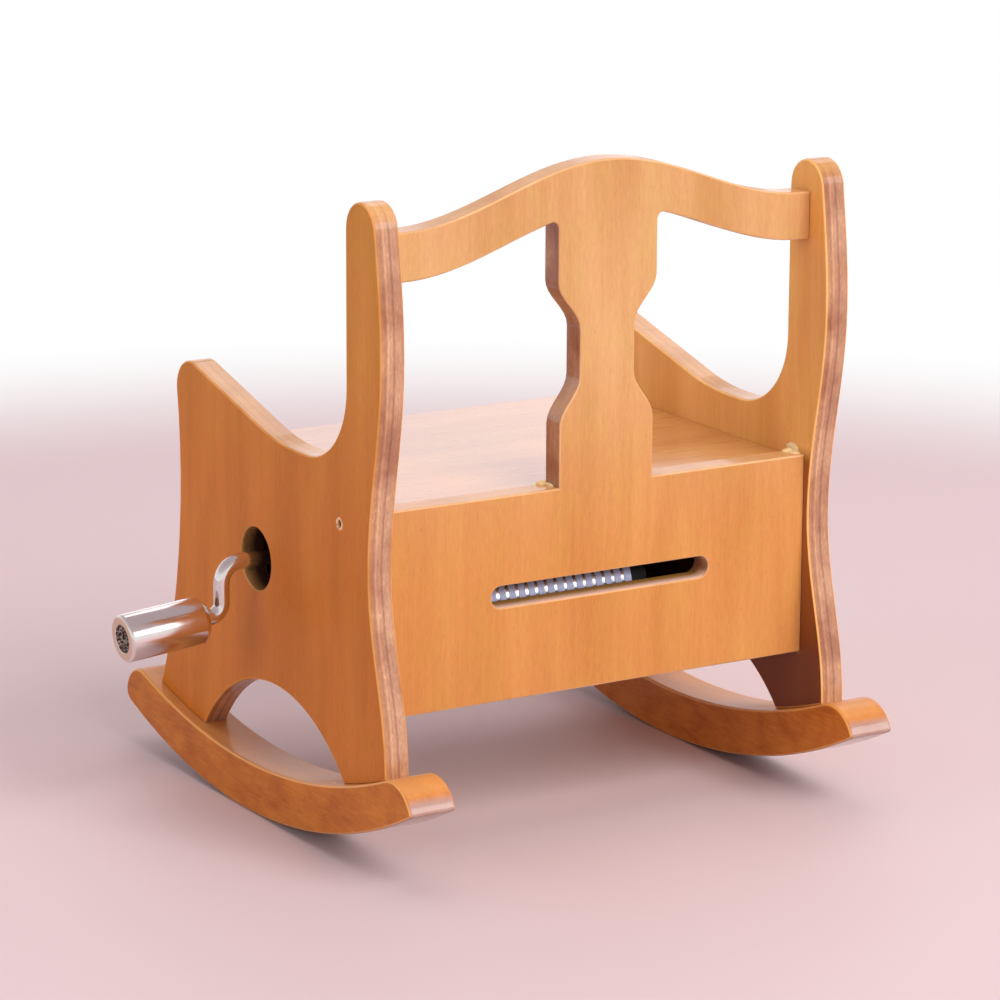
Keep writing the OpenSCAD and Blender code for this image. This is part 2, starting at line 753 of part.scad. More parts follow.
module comb_weights() {
    w = note_pitch - slit_w - gear_clear;
    color([0.38, 0.39, 0.42])
        for (k = [0:weights - 1])
            translate([comb_x0 + (k + 0.5) * note_pitch - w / 2, tip_y - weight_set - weight_l,
                       comb_z + comb_t - tooth_t - weight_h])
                cube([w, weight_l, weight_h]);
}

module comb_screws() {
    color([0.85, 0.85, 0.86])
        for (x = comb_screw_xs)
            top_screw([x, comb_screw_y], comb_z + comb_t, comb_screw_d,
                      comb_z + comb_t - bed_top, comb_head_d, comb_head_h);
}

// ---- cylinder -----------------------------------------------------------------------

// Note that the tune plays on beat b, a rising and falling run
function melody(b) = floor(notes * (tune_middle + tune_swing * sin(tune_step * b)));

// Low note that goes with every third beat
function bass(b) = (2 * b) % 5;

module pin(note, beat) {
    blank = 360 - tune_arc;
    dir = blank_dir + blank / 2 + tune_arc * (beat + 0.5) / beats;
    x = comb_x0 + (note + 0.5) * note_pitch;
    translate([x, drum_axis[0], drum_axis[1]]) rotate([dir, 0, 0]) rotate([-90, 0, 0])
        translate([0, 0, drum_r - groove_d]) cylinder(h = groove_d + pin_h, d = pin_d, $fn = 16);
}

module drum() {
    tracks = [for (k = [0:notes - 1]) let (z = drum_band + k * note_pitch)
        each [[drum_r, z - groove_w / 2], [drum_r - groove_d, z - groove_w / 2],
              [drum_r - groove_d, z + groove_w / 2], [drum_r, z + groove_w / 2]]];
    length = drum_x1 - drum_x0;
    color([0.62, 0.62, 0.66]) {
        translate([drum_x0, drum_axis[0], drum_axis[1]]) rotate([0, 90, 0]) rotate_extrude()
            polygon(concat([[drum_r - drum_wall, 0], [drum_r, 0]], tracks,
                           [[drum_r, length], [drum_r - drum_wall, length]]));
        for (b = [0:beats - 1]) pin(melody(b), b);
        for (b = [0:3:beats - 1]) pin(bass(b), b);
    }
}

module drum_plug() {
    color([0.93, 0.92, 0.88]) difference() {
        bar(drum_axis, drum_x0, drum_x0 + plug_l, drum_r - drum_wall);
        bar(drum_axis, drum_x0 - over, drum_x0 + plug_l + over, arbor_d / 2);
    }
}

module arbor() {
    color([0.80, 0.80, 0.82]) bar(drum_axis, bracket_x, plate_x1, arbor_d / 2);
}

// ---- gears --------------------------------------------------------------------------

module gear(axis, x, teeth, add, ded, turn) {
    across(x, gear_w) translate(axis) rotate(turn) polygon(gear_points(teeth, add, ded));
}

module drum_gear() {
    color([0.93, 0.92, 0.88]) difference() {
        union() {
            gear(drum_axis, gear_x, drum_teeth, wheel_add, pinion_add + gear_clear,
                 wheel_dir + 180 / drum_teeth);
            bar(drum_axis, drum_x1 - plug_l, gear_x + eps, drum_r - drum_wall);
        }
        bar(drum_axis, drum_x1 - plug_l - over, gear_x + gear_w + over, arbor_d / 2);
    }
}

module wheel() {
    color([0.93, 0.92, 0.88]) difference() {
        union() {
            gear(wheel_axis, wheel_x, wheel_teeth, wheel_add, pinion_add + gear_clear,
                 crank_dir + 180 / wheel_teeth);
            gear(wheel_axis, gear_x, pinion_teeth, pinion_add, wheel_add + gear_clear,
                 wheel_dir + 180);
            bar(wheel_axis, gear_x + gear_w - eps, wheel_x + eps,
                gear_m * pinion_teeth / 2 - wheel_add - gear_clear);
        }
        bar(wheel_axis, gear_x - over, plate_x, stud_d / 2 + run_gap);
    }
}

module wheel_stud() {
    color([0.80, 0.80, 0.82]) {
        bar(wheel_axis, stud_head_x, plate_x1, stud_d / 2);
        bar(wheel_axis, stud_head_x, stud_head_x + stud_head_t, stud_d / 2 + stud_head_wall);
    }
}

module crank_pinion() {
    color([0.86, 0.74, 0.42]) difference() {
        gear(crank_axis, wheel_x, crank_teeth, pinion_add, wheel_add + gear_clear, crank_dir + 180);
        bar(crank_axis, wheel_x - over, wheel_x + gear_w + over, wire_d / 2);
    }
}

// ---- crank and knob -----------------------------------------------------------------

// The crank's own frame: X runs along the shaft
module on_shaft() {
    translate([0, crank_axis[0], crank_axis[1]]) children();
}

// The knob's pin: X runs along it, from where its axis crosses the arm's
module on_pin() {
    on_shaft() translate([arm_x, 0, -crank_r]) rotate([0, pin_lean, 0]) children();
}

// A bend of the wire in X and Z around c = [x, z], from angle a over a turn
module bend(c, r, a, turn) {
    translate([c[0], 0, c[1]]) rotate([90, 0, 0]) rotate([0, 0, a])
        rotate_extrude(angle = turn) translate([r, 0]) circle(d = wire_d, $fn = 32);
}

module crank() {
    arm_low = bend_low_l - crank_r;
    arm_l = -bend_top_r - arm_low;
    color([0.90, 0.90, 0.91]) {
        on_shaft() {
            bar([0, 0], shaft_x0, arm_x - bend_top_r, wire_d / 2);
            bend([arm_x - bend_top_r, -bend_top_r], bend_top_r, 0, 90);
            translate([arm_x, 0, arm_low]) cylinder(h = arm_l, d = wire_d);
            bend([arm_x + bend_low_r, arm_low], bend_low_r, 180, 90 - pin_lean);
        }
        on_pin() bar([0, 0], bend_low_l - pin_root, pin_x1, knob_pin_d / 2);
    }
}

module crank_collar() {
    x0 = boss_x1 + end_gap / 2;
    color([0.80, 0.80, 0.82]) difference() {
        bar(crank_axis, x0, x0 + collar_t, wire_d / 2 + collar_wall);
        bar(crank_axis, x0 - over, x0 + collar_t + over, wire_d / 2);
    }
}

module knob() {
    r = knob_d / 2;
    bore = knob_pin_d / 2 + run_gap;
    color([0.90, 0.90, 0.91])
        on_pin() translate([knob_x, 0, 0]) rotate([0, 90, 0]) rotate_extrude()
            polygon([[bore, 0], [r - knob_chamfer, 0], [r, knob_chamfer],
                     [r, knob_l - knob_edge], [r - knob_edge, knob_l],
                     [mouth_d / 2, knob_l], [mouth_d / 2, knob_l - mouth_depth],
                     [bore, knob_l - mouth_depth]]);
}

module knob_ring() {
    color([0.45, 0.45, 0.47]) on_pin() difference() {
        bar([0, 0], ring_x, ring_x + ring_t, mouth_d / 2 - ring_gap);
        bar([0, 0], ring_x - over, ring_x + ring_t + over, knob_pin_d / 2);
    }
}

// ---- what is drawn ------------------------------------------------------------------

side_panel_crank();
side_panel_far();
rocker_crank();
rocker_far();
back_panel();
seat_board();
front_board();
bottom_board();
nails();
bedplate();
drum_bracket();
gear_bracket();
bracket_screws();
mount_screws();
comb();
comb_weights();
comb_screws();
wheel_stud();
wheel();
drum();
drum_plug();
drum_gear();
arbor();
crank();
crank_pinion();
crank_collar();
knob();
knob_ring();
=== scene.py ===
# %% [markdown]
# # A rocking chair that plays a tune
# The object is a toy rocking chair of stained plywood. A hand-cranked music movement sits in
# the box under its seat. The construction model already holds every piece at its true place,
# so this script only has to dress it. One Blender unit is a metre, so a helper for
# millimetres keeps the numbers readable.

# %% Load the construction model
import json
from collections import Counter
from math import cos, degrees, hypot, pi, radians, sin, tan

import bpy
from mathutils import Matrix, Vector
from mathutils.geometry import tessellate_polygon


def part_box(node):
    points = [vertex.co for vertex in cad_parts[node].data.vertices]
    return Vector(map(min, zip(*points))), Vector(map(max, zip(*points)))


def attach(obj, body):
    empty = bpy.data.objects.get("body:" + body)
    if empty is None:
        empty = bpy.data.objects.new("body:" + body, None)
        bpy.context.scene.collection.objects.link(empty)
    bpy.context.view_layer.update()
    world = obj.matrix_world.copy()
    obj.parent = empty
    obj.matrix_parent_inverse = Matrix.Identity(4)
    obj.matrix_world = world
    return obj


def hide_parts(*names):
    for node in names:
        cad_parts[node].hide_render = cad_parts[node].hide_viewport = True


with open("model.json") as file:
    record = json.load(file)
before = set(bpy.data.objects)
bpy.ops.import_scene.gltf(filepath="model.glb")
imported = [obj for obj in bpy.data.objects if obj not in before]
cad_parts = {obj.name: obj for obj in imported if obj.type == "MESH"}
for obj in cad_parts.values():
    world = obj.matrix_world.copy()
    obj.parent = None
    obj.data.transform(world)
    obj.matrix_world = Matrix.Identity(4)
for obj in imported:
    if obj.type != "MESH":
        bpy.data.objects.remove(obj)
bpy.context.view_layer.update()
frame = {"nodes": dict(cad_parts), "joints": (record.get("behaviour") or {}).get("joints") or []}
nodes = frame["nodes"]
joints = {joint["name"]: joint for joint in frame["joints"]}
mm = 0.001

# %% [markdown]
# ## Camera
# The chair is seen from behind and from its crank side, a little from above. A long lens
# keeps its posts almost parallel. The camera's turn can be written as two angles, but a small
# roll has to be added, so the three directions of the camera are worked out and put into its
# matrix. That is exact, and no constraint or target object is needed.

# %% Camera
azimuth, elevation, roll = radians(148.825), radians(13.887), radians(0.3)
back = Vector((sin(azimuth) * cos(elevation), -cos(azimuth) * cos(elevation), sin(elevation)))
level_right = Vector((0, 0, 1)).cross(back).normalized()
level_up = back.cross(level_right)
right = level_right * cos(roll) + level_up * sin(roll)
up = level_up * cos(roll) - level_right * sin(roll)

camera = bpy.data.objects.new("camera", bpy.data.cameras.new("camera"))
camera.data.sensor_width = 36
camera.data.lens = 155.2
camera.data.clip_start = 0.01
camera.matrix_world = Matrix((right, up, back)).transposed().to_4x4()
camera.location = Vector((297.9, 497.0, 181.8)) * mm
bpy.context.scene.collection.objects.link(camera)
bpy.context.scene.camera = camera
print("camera stands", round(camera.location.length, 3), "m away")

# %% [markdown]
# ## Node helpers
# Every finish is a node tree. Written out call by call, a tree is long and hard to read, so
# a few short helpers do the repeated work: one adds a node and fills its sockets, one blends
# two colours, one makes a colour ramp, and the rest are named sums. A value that is a socket
# is linked, and any other value is set on the node itself.

# %% Node helpers
def add(tree, kind, *values, **settings):
    """Add a node. values fill its first sockets, and settings set its properties or, by name,
    its sockets."""
    made = tree.nodes.new(kind)
    sockets = {}
    for key, value in settings.items():
        if key in made.inputs:
            sockets[key] = value
        else:
            setattr(made, key, value)
    for key, value in list(enumerate(values)) + list(sockets.items()):
        if isinstance(value, bpy.types.NodeSocket):
            tree.links.new(value, made.inputs[key])
        elif value is not None:
            made.inputs[key].default_value = value
    return made


def sums(tree, operation, a, b=None, c=None):
    """The result of a Math node."""
    return add(tree, "ShaderNodeMath", a, b, c, operation=operation).outputs[0]


def between(tree, value, low, high, **settings):
    """0 where value is at low, 1 where it is at high, and a share of the way elsewhere."""
    return add(tree, "ShaderNodeMapRange", value, low, high, **settings).outputs[0]


def part_of(tree, vector, axis):
    """One number of a vector: axis number 0 is its x, 1 its y and 2 its z."""
    return add(tree, "ShaderNodeSeparateXYZ", vector).outputs[axis]


def blend(tree, share, first, second, way="MIX"):
    """Blend two colours. A share of 0 gives the first one."""
    mix = tree.nodes.new("ShaderNodeMix")
    mix.data_type = "RGBA"
    mix.blend_type = way
    for place, value in ((0, share), (6, first), (7, second)):
        if isinstance(value, bpy.types.NodeSocket):
            tree.links.new(value, mix.inputs[place])
        else:
            mix.inputs[place].default_value = value if place == 0 else (*value, 1)
    return mix.outputs[2]


def ramp(tree, value, *stops):
    """A colour ramp. Each stop is (place, colour), and a single number is a grey."""
    made = add(tree, "ShaderNodeValToRGB", value)
    slots = made.color_ramp.elements
    while len(slots) < len(stops):
        slots.new(0.5)
    for slot, (place, colour) in zip(slots, stops):
        slot.position = place
        slot.color = (*colour, 1) if isinstance(colour, tuple) else (colour, colour, colour, 1)
    return made.outputs[0]


print("node helpers:", [helper.__name__ for helper in (add, sums, between, part_of, blend, ramp)])

# %% [markdown]
# ## Helpers for a finish
# A finish starts as a material whose patterns are measured in millimetres, because a maker
# thinks of grain and scratches in that size. Noise gives irregular marks of a chosen length,
# and the same noise can be turned into small bumps, so that light and colour agree. How a
# surface looks along an axis tells a face from a cut edge.

# %% Helpers for a finish
def finish(name):
    """A new material, its tree, its Principled shader and where points are in millimetres."""
    material = bpy.data.materials.new(name)
    material.use_nodes = True
    tree = material.node_tree
    metres = add(tree, "ShaderNodeTexCoord").outputs["Object"]
    place = add(tree, "ShaderNodeVectorMath", metres, (1 / mm,) * 3, operation="MULTIPLY")
    return material, tree, tree.nodes["Principled BSDF"], place.outputs[0]


def noise(tree, place, sizes, detail=3, rough=0.5, twist=0):
    """Noise from 0 to 1 whose marks are sizes = (x, y, z) millimetres long."""
    scale = tuple(1 / size for size in sizes)
    place = add(tree, "ShaderNodeVectorMath", place, scale, operation="MULTIPLY").outputs[0]
    return add(tree, "ShaderNodeTexNoise", place, Scale=1, Detail=detail, Roughness=rough,
               Distortion=twist).outputs[0]


def wear(tree, shader, height, depth):
    """Turn a height from 0 to 1 into bumps that are depth millimetres deep."""
    bump = add(tree, "ShaderNodeBump", Strength=1, Distance=depth * mm, Height=height)
    tree.links.new(bump.outputs[0], shader.inputs["Normal"])


def looking(tree, axis):
    """1 where a surface looks along an axis, 0 where it runs along it, -1 where it looks back."""
    return part_of(tree, add(tree, "ShaderNodeTexCoord").outputs["Normal"], axis)


def facing(tree, across):
    """The same without a sign: 1 where a surface looks along the axis, forward or back."""
    return sums(tree, "ABSOLUTE", looking(tree, across))


def lacquer(tree, shader, weight):
    """A clear coat on wood that shines little by itself."""
    tree.links.new(weight, shader.inputs["Coat Weight"])
    shader.inputs["Coat Roughness"].default_value = 0.1
    shader.inputs["Coat IOR"].default_value = 1.7
    shader.inputs["Specular IOR Level"].default_value = 0.25


print("finish helpers:", [helper.__name__ for helper in (finish, noise, wear, facing, lacquer)])

# %% [markdown]
# ## Stained plywood: the veneer
# The boards are thin plywood, stained honey brown and sealed with lacquer. Their face veneer
# shows soft bands, fine streaks, short dark pores and clouds in which the stain looks olive.
# Each of these is a noise drawn out along the grain. The spots at which the noises are read
# sway a little, because perfectly straight grain looks printed. The pattern is worked out in
# space, so no image and no unwrapped seam is needed.

# %% Veneer
# Width and length of the marks in mm.
band_size, streak_size, fibre_size, pore_size = (8, 50), (0.7, 16), (0.25, 1.5), (0.2, 1.3)
olive_tint = (0.97, 1.14, 0.85)


def grain_marks(tree, place, grain):
    """A function that makes noises whose marks run along axis number grain."""
    sway = noise(tree, place, (14, 14, 30), 2)
    sway = sums(tree, "MULTIPLY_ADD", sway, 3.0, -1.5)
    swayed = add(tree, "ShaderNodeVectorMath", place, sway, operation="ADD").outputs[0]

    def marks(width, length, **more):
        return noise(tree, swayed, [length if a == grain else width for a in range(3)], **more)

    return marks


def veneer_colour(tree, place, marks, streak, fibre, dark, light):
    """The stained face between a dark and a light tone."""
    band = marks(*band_size, detail=2)
    tone = sums(tree, "MULTIPLY_ADD", band, 0.72, sums(tree, "MULTIPLY", streak, 0.28))
    veneer = ramp(tree, tone, (0.34, dark), (0.66, light))
    cloud = noise(tree, place, (5, 5, 8), 3, 0.6)
    olive = blend(tree, 1, veneer, olive_tint, "MULTIPLY")
    veneer = blend(tree, ramp(tree, cloud, (0.45, 0.0), (0.65, 0.4)), veneer, olive)
    veneer = blend(tree, 0.15, veneer, ramp(tree, fibre, (0.3, 0.25), (0.7, 0.75)), "OVERLAY")
    pore = ramp(tree, marks(*pore_size, detail=1), (0.70, 0.0), (0.78, 0.3))
    return blend(tree, pore, veneer, tuple(0.5 * c for c in dark))


print("veneer marks in mm:", band_size, streak_size, fibre_size, pore_size)

# %% [markdown]
# ## Stained plywood: painted shade
# Two tints darken the veneer as painted shade. Upright boards are painted darker low down and
# lighter higher up, where more light falls. The inner veneer of the far panel is painted much
# darker round the corner of the back panel and on its foot, where the box keeps the light off.
# Both are the same veneer times a tint, blended in by a point's height and place, with soft
# borders.

# %% Painted shade
# Tints of painted shade: the first darkens upright boards low down, the other two the far panel's
# corner and foot.
low_shade_tint = (1.0, 0.78, 0.52)
corner_shade_dark, corner_shade_light = (0.22, 0.11, 0.11), (0.42, 0.27, 0.19)


def paint_low_shade(tree, place, veneer, low, high):
    """Painted shade that is full below the height low and gone above the height high."""
    rise = between(tree, part_of(tree, place, 2), low, high, interpolation_type="SMOOTHSTEP")
    return blend(tree, rise, blend(tree, 1, veneer, low_shade_tint, "MULTIPLY"), veneer)


def paint_corner_shade(tree, place, veneer, rear, top, foot):
    """Painted shade on the inner veneer of the far panel: dark behind and below the back panel's
    corner, which is at (rear, top), and on the panel's foot below the height foot."""
    _, back_way, height = add(tree, "ShaderNodeSeparateXYZ", place).outputs
    corner = sums(tree, "MULTIPLY", between(tree, back_way, rear - 3, rear),
                  between(tree, height, top + 1, top - 1))
    shaded_leg = sums(tree, "MULTIPLY", between(tree, height, foot + 0.5, foot - 0.5),
               between(tree, back_way, -8, 2))
    # The painted shade is darkest at the height foot and lighter higher up.
    shade_tint = ramp(tree, between(tree, height, foot, foot + 15), (0.0, corner_shade_dark),
               (1.0, corner_shade_light))
    inner = ramp(tree, looking(tree, 0), (0.5, 0.0), (0.9, 1.0))
    here = sums(tree, "MULTIPLY", sums(tree, "MAXIMUM", corner, shaded_leg), inner)
    return blend(tree, here, veneer, blend(tree, 1, veneer, shade_tint, "MULTIPLY"))


# These tints are painted shade.
print("painted shade tints:", low_shade_tint, corner_shade_dark, corner_shade_light)

# %% [markdown]
# ## Stained plywood: the cut edge
# A sawn edge shows the plies. End grain drinks more stain and goes red-brown in patches, and
# pale and dark plies run through it as lines. Flecks of raw wood are left where the stain
# didn't take. Edges that look up are painted golden, as painted light from above. The ply of a
# point follows from its depth in the board, so the lines run true round every curve.

# %% Cut edge
end_grain_dark, end_grain_light = (0.34, 0.135, 0.068), (0.53, 0.28, 0.160)
# The second colour is painted light for edges that look up.
raw_fleck, edge_top_light = (0.75, 0.45, 0.26), (0.72, 0.36, 0.10)
# The tint of each ply, by its depth from one face of the board (0) to the other (1).
plies = ((0.12, (1.0, 0.85, 0.6)), (0.16, 1.0), (0.38, 1.0), (0.43, (0.62, 0.45, 0.34)),
         (0.52, 1.0), (0.62, 1.0), (0.67, (1.45, 1.35, 1.1)), (0.72, 1.0),
         (0.78, (0.75, 0.6, 0.42)), (0.90, (1.0, 0.85, 0.6)))


def ply_depth(tree, place, across, low, high):
    """How deep a point lies in a board, from 0 to 1. The plies waver a little."""
    depth = between(tree, part_of(tree, place, across), low, high)
    waver = noise(tree, place, (6, 6, 6), 2)
    return sums(tree, "MULTIPLY_ADD", waver, 0.07, sums(tree, "SUBTRACT", depth, 0.035))


def rough_up(tree, share, colour, grit):
    """Let the grit of the saw show in a colour."""
    return blend(tree, share, colour, ramp(tree, grit, (0.3, 0.1), (0.7, 0.9)), "OVERLAY")


def edge_colour(tree, depth, patch, grit, lines):
    """The colour of a cut edge, with painted light where it looks up. lines is how clearly its
    plies show.
    """
    end_grain = ramp(tree, patch, (0.36, end_grain_dark), (0.60, end_grain_light))
    edge = blend(tree, lines, end_grain, ramp(tree, depth, *plies), "MULTIPLY")
    edge = rough_up(tree, 0.2, edge, grit)
    fleck = sums(tree, "MULTIPLY", ramp(tree, grit, (0.62, 0.0), (0.70, 0.5)),
                 ramp(tree, patch, (0.45, 0.0), (0.60, 0.9)))
    edge = blend(tree, fleck, edge, raw_fleck)
    # Painted light: edges that look up turn golden.
    return blend(tree, ramp(tree, looking(tree, 2), (0.3, 0.0), (0.8, 0.55)), edge, edge_top_light)


print("tints through a board:", len(plies))

# %% [markdown]
# ## Stained plywood: painted shade in the cuts
# The crank's hole was drilled and the slot was milled. Their walls are painted darker deep in
# the board, as painted shade, and the slot's outer lip gets a pale painted sheen. A slot is a
# line with round ends, and a hole is a slot without any length, so one function knows both by
# how far a point lies from that line.

# %% Painted shade in the cuts
def shaded_walls(tree, place, across, depth, grit, middle, half_length, radius, inside, outside):
    """The colour of the walls of a cut, painted dark deep inside as painted shade and lighter at
    the outer face, and where they are. The line in the middle of the cut lies level, half_length
    to each side of middle."""
    side = sums(tree, "SUBTRACT", part_of(tree, place, 1 - across), middle[0])
    side = sums(tree, "SUBTRACT", sums(tree, "ABSOLUTE", side), half_length)
    side = sums(tree, "MAXIMUM", side, 0)
    rise = sums(tree, "SUBTRACT", part_of(tree, place, 2), middle[1])
    away = sums(tree, "SQRT", sums(tree, "ADD", sums(tree, "MULTIPLY", side, side),
                                   sums(tree, "MULTIPLY", rise, rise)))
    # A ramp only reads values from 0 to 1, so the radius is moved to 1.
    away = sums(tree, "SUBTRACT", away, radius - 1)
    here = ramp(tree, away, (0.985, 1.0), (1.0, 0.0))
    # Painted shade: the walls are dark deep in the board and lighter towards the outer face.
    walls = ramp(tree, depth, (0.40, inside), (0.90, outside))
    return rough_up(tree, 0.5, walls, grit), here


shaft = Vector(joints["crank_spin"]["pos_m"]) / mm
# Painted shade: the crank's hole goes almost black deep inside.
crank_hole = {"middle": (shaft.y, shaft.z), "half_length": 0, "radius": 4.375,
              "inside": (0.040, 0.013, 0.007), "outside": (0.46, 0.24, 0.08)}
# Painted shade deep in the slot, and a pale painted sheen on its outer lip.
back_slot = {"middle": (0, 33.9), "half_length": 15.5, "radius": 1.5,
             "inside": (0.34, 0.17, 0.035), "outside": (0.95, 0.62, 0.50)}
# The painted shade in the cuts reaches this far.
print("burnt walls reach", crank_hole["radius"], "mm from the crank and",
      back_slot["radius"], "mm from the slot's middle line")

# %% [markdown]
# ## Stained plywood: all together
# Whether a point belongs to the veneer, to a cut edge or to the rounded rim between them
# follows from the way the surface looks. The rim is painted paler than the face, a painted
# highlight where the rounded edge catches the light. The lacquer is thick on the cut edges,
# where it soaked in and was brushed twice, and thin on the rubbed faces. Only the seat is
# polished.

# %% Plywood
def plywood(name, across, low, high, dark, light, grain=2, gloss=0.08, rough=0.5, lines=0.8,
            low_shade=None, corner_shade=None, shaded=None):
    """Plywood whose thickness runs along axis number across, from low to high in mm. gloss is
    the lacquer on its faces. low_shade, corner_shade and shaded hold what the functions for
    painted shade need."""
    material, tree, shader, place = finish(name)
    marks = grain_marks(tree, place, grain)
    streak = marks(*streak_size, detail=4, rough=0.6)
    fibre = marks(*fibre_size, detail=3, rough=0.6)
    patch = noise(tree, place, (7, 7, 9), 3, 0.6)
    grit = noise(tree, place, (0.22, 0.22, 0.9), 2, 0.7)
    depth = ply_depth(tree, place, across, low, high)

    veneer = veneer_colour(tree, place, marks, streak, fibre, dark, light)
    # Painted shade, where it is asked for: low on upright boards and round the far panel's
    # corner.
    if low_shade:
        veneer = paint_low_shade(tree, place, veneer, *low_shade)
    if corner_shade:
        veneer = paint_corner_shade(tree, place, veneer, *corner_shade)
    edge = edge_colour(tree, depth, patch, grit, lines)
    # Painted highlight: the rounded rim is a little paler than the face.
    rim = blend(tree, ramp(tree, patch, (0.42, 0.0), (0.58, 1.0)), light,
                tuple(min(1, 1.08 * c + 0.05) for c in light))

    face = facing(tree, across)
    on_face = ramp(tree, face, (0.90, 0.0), (0.99, 1.0))
    on_edge = ramp(tree, face, (0.25, 1.0), (0.60, 0.0))
    colour = blend(tree, on_edge, blend(tree, on_face, rim, veneer), edge)
    coat = ramp(tree, face, (0.55, 0.6), (0.95, gloss))
    # Painted shade on the walls of the hole and the slot, with a painted sheen on the slot's lip.
    if shaded:
        walls, here = shaded_walls(tree, place, across, depth, grit, **shaded)
        colour = blend(tree, here, colour, walls)
        coat = blend(tree, here, coat, (0.05, 0.05, 0.05))
    tree.links.new(colour, shader.inputs["Base Color"])
    tree.links.new(sums(tree, "MULTIPLY_ADD", streak, 0.2, rough - 0.1),
                   shader.inputs["Roughness"])
    lacquer(tree, shader, coat)

    fibre_share, grit_share = 0.1 if gloss > 0.5 else 0.4, 0.5
    saw_marks = sums(tree, "MULTIPLY", sums(tree, "MULTIPLY", grit, on_edge), grit_share)
    wear(tree, shader, sums(tree, "ADD", sums(tree, "MULTIPLY", fibre, fibre_share), saw_marks),
         0.016)
    return material


print("marks on plywood from", pore_size[0], "to", band_size[1], "mm")

# %% [markdown]
# ## The finishes of the boards
# Each board was stained by itself and has a tone of its own: the crank's side panel is the
# reddest, the far one the palest, and the back panel is honey brown. The thickness of each
# board is read from the construction model, so that the plies lie at their true depth.

# %% The finishes of the boards
def thickness(node, across):
    """Where a board starts and ends along an axis, in mm."""
    low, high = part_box(node)
    return round(low[across] / mm, 3), round(high[across] / mm, 3)


apron_rear, apron_top, apron_foot = 30.9, 47.6, thickness("back_panel", 2)[0]
panel_ply = {
    "side_panel_crank": plywood("stained ply, crank side", 0, *thickness("side_panel_crank", 0),
                                (0.51, 0.178, 0.014), (0.66, 0.260, 0.040), low_shade=(40, 78),
                                shaded=crank_hole),
    # The far panel gets painted shade round the back panel's corner and on its foot.
    "side_panel_far": plywood("stained ply, far side", 0, *thickness("side_panel_far", 0),
                              (0.78, 0.335, 0.078), (0.94, 0.485, 0.148),
                              corner_shade=(apron_rear, apron_top, apron_foot)),
}
honey_dark, honey_light = (0.54, 0.250, 0.087), (0.66, 0.352, 0.149)
back_ply = plywood("stained ply, back panel", 1, *thickness("back_panel", 1), honey_dark,
                   honey_light, lines=0.15, low_shade=(34, 68), shaded=back_slot)
seat_ply = plywood("stained ply, seat", 2, *thickness("seat_board", 2), (0.50, 0.190, 0.046),
                   (0.65, 0.30, 0.092), grain=0, gloss=0.9, rough=0.3)
front_ply = plywood("stained ply, front board", 1, *thickness("front_board", 1), honey_dark,
                    honey_light)
floor_ply = plywood("stained ply, bottom board", 2, *thickness("bottom_board", 2), honey_dark,
                    honey_light, grain=0)
print("plywood finishes:", len(panel_ply) + 4)

# %% [markdown]
# ## Wood of the rockers
# The rockers are cut from a thicker board. Their grain runs from front to back and shows a
# cloudy figure instead of stripes. Their ends carry the same thick lacquer as the cut plywood,
# and their end grain is painted pale pink-grey as a painted sheen. Their tops are painted
# lighter, as painted light from above, under a thinner coat, and their flat sides are rubbed.
# The rounded rim is painted golden as a painted highlight, and the running face underneath is
# painted darker as painted shade.

# %% Wood of the rockers
def cloudy_wood(name, dark, light):
    material, tree, shader, place = finish(name)
    cloud = noise(tree, place, (3.5, 6, 3.5), 4, 0.6, twist=0.5)
    fibre = noise(tree, place, (0.35, 3.5, 0.35), 3, 0.6)
    side, upward = facing(tree, 0), looking(tree, 2)
    # Masks for painted light: shade underneath, a sheen on the ends, light on the tops and a
    # highlight on the rim.
    shaded_underside = ramp(tree, sums(tree, "MULTIPLY", upward, -1), (0.3, 0.0), (0.6, 0.75))
    end = ramp(tree, facing(tree, 1), (0.68, 0.0), (0.82, 0.75))
    top = ramp(tree, upward, (0.60, 0.0), (0.85, 1.0))
    rim = ramp(tree, side, (0.45, 0.0), (0.6, 0.8), (0.85, 0.8), (0.97, 0.0))

    tone = sums(tree, "MULTIPLY_ADD", cloud, 0.65, sums(tree, "MULTIPLY", fibre, 0.35))
    wood = ramp(tree, tone, (0.36, dark), (0.62, light))
    # Painted shade underneath, a painted sheen on the ends, painted light on the tops and a
    # painted highlight on the rim.
    wood = blend(tree, shaded_underside, wood, tuple(0.3 * c for c in dark))
    wood = blend(tree, end, wood, blend(tree, cloud, (0.30, 0.18, 0.15), (0.46, 0.33, 0.32)))
    wood = blend(tree, sums(tree, "MULTIPLY", top, 0.45), wood, (0.72, 0.37, 0.14))
    wood = blend(tree, rim, wood, (0.80, 0.36, 0.09))
    tree.links.new(wood, shader.inputs["Base Color"])
    tree.links.new(sums(tree, "MULTIPLY_ADD", cloud, 0.2, 0.36), shader.inputs["Roughness"])
    coat = ramp(tree, side, (0.5, 1.0), (0.95, 0.06))
    lacquer(tree, shader, blend(tree, top, coat, (0.2, 0.2, 0.2)))
    wear(tree, shader, fibre, 0.015)
    return material


rocker_wood = cloudy_wood("stained rocker wood", (0.42, 0.10, 0.005), (0.60, 0.19, 0.02))
print("rocker wood:", len(rocker_wood.node_tree.nodes), "nodes")

# %% [markdown]
# ## Cutting a board: the outline
# Each board is a flat outline sawn from a sheet, with its edges rounded by sandpaper. A
# Bevel modifier on the construction mesh could round them, but that mesh is made of long thin
# triangles, and their shading would show. Instead the outline is read back from the board's
# flat face: an edge that only one of its triangles uses lies on the rim, and such edges are
# strung together to loops.

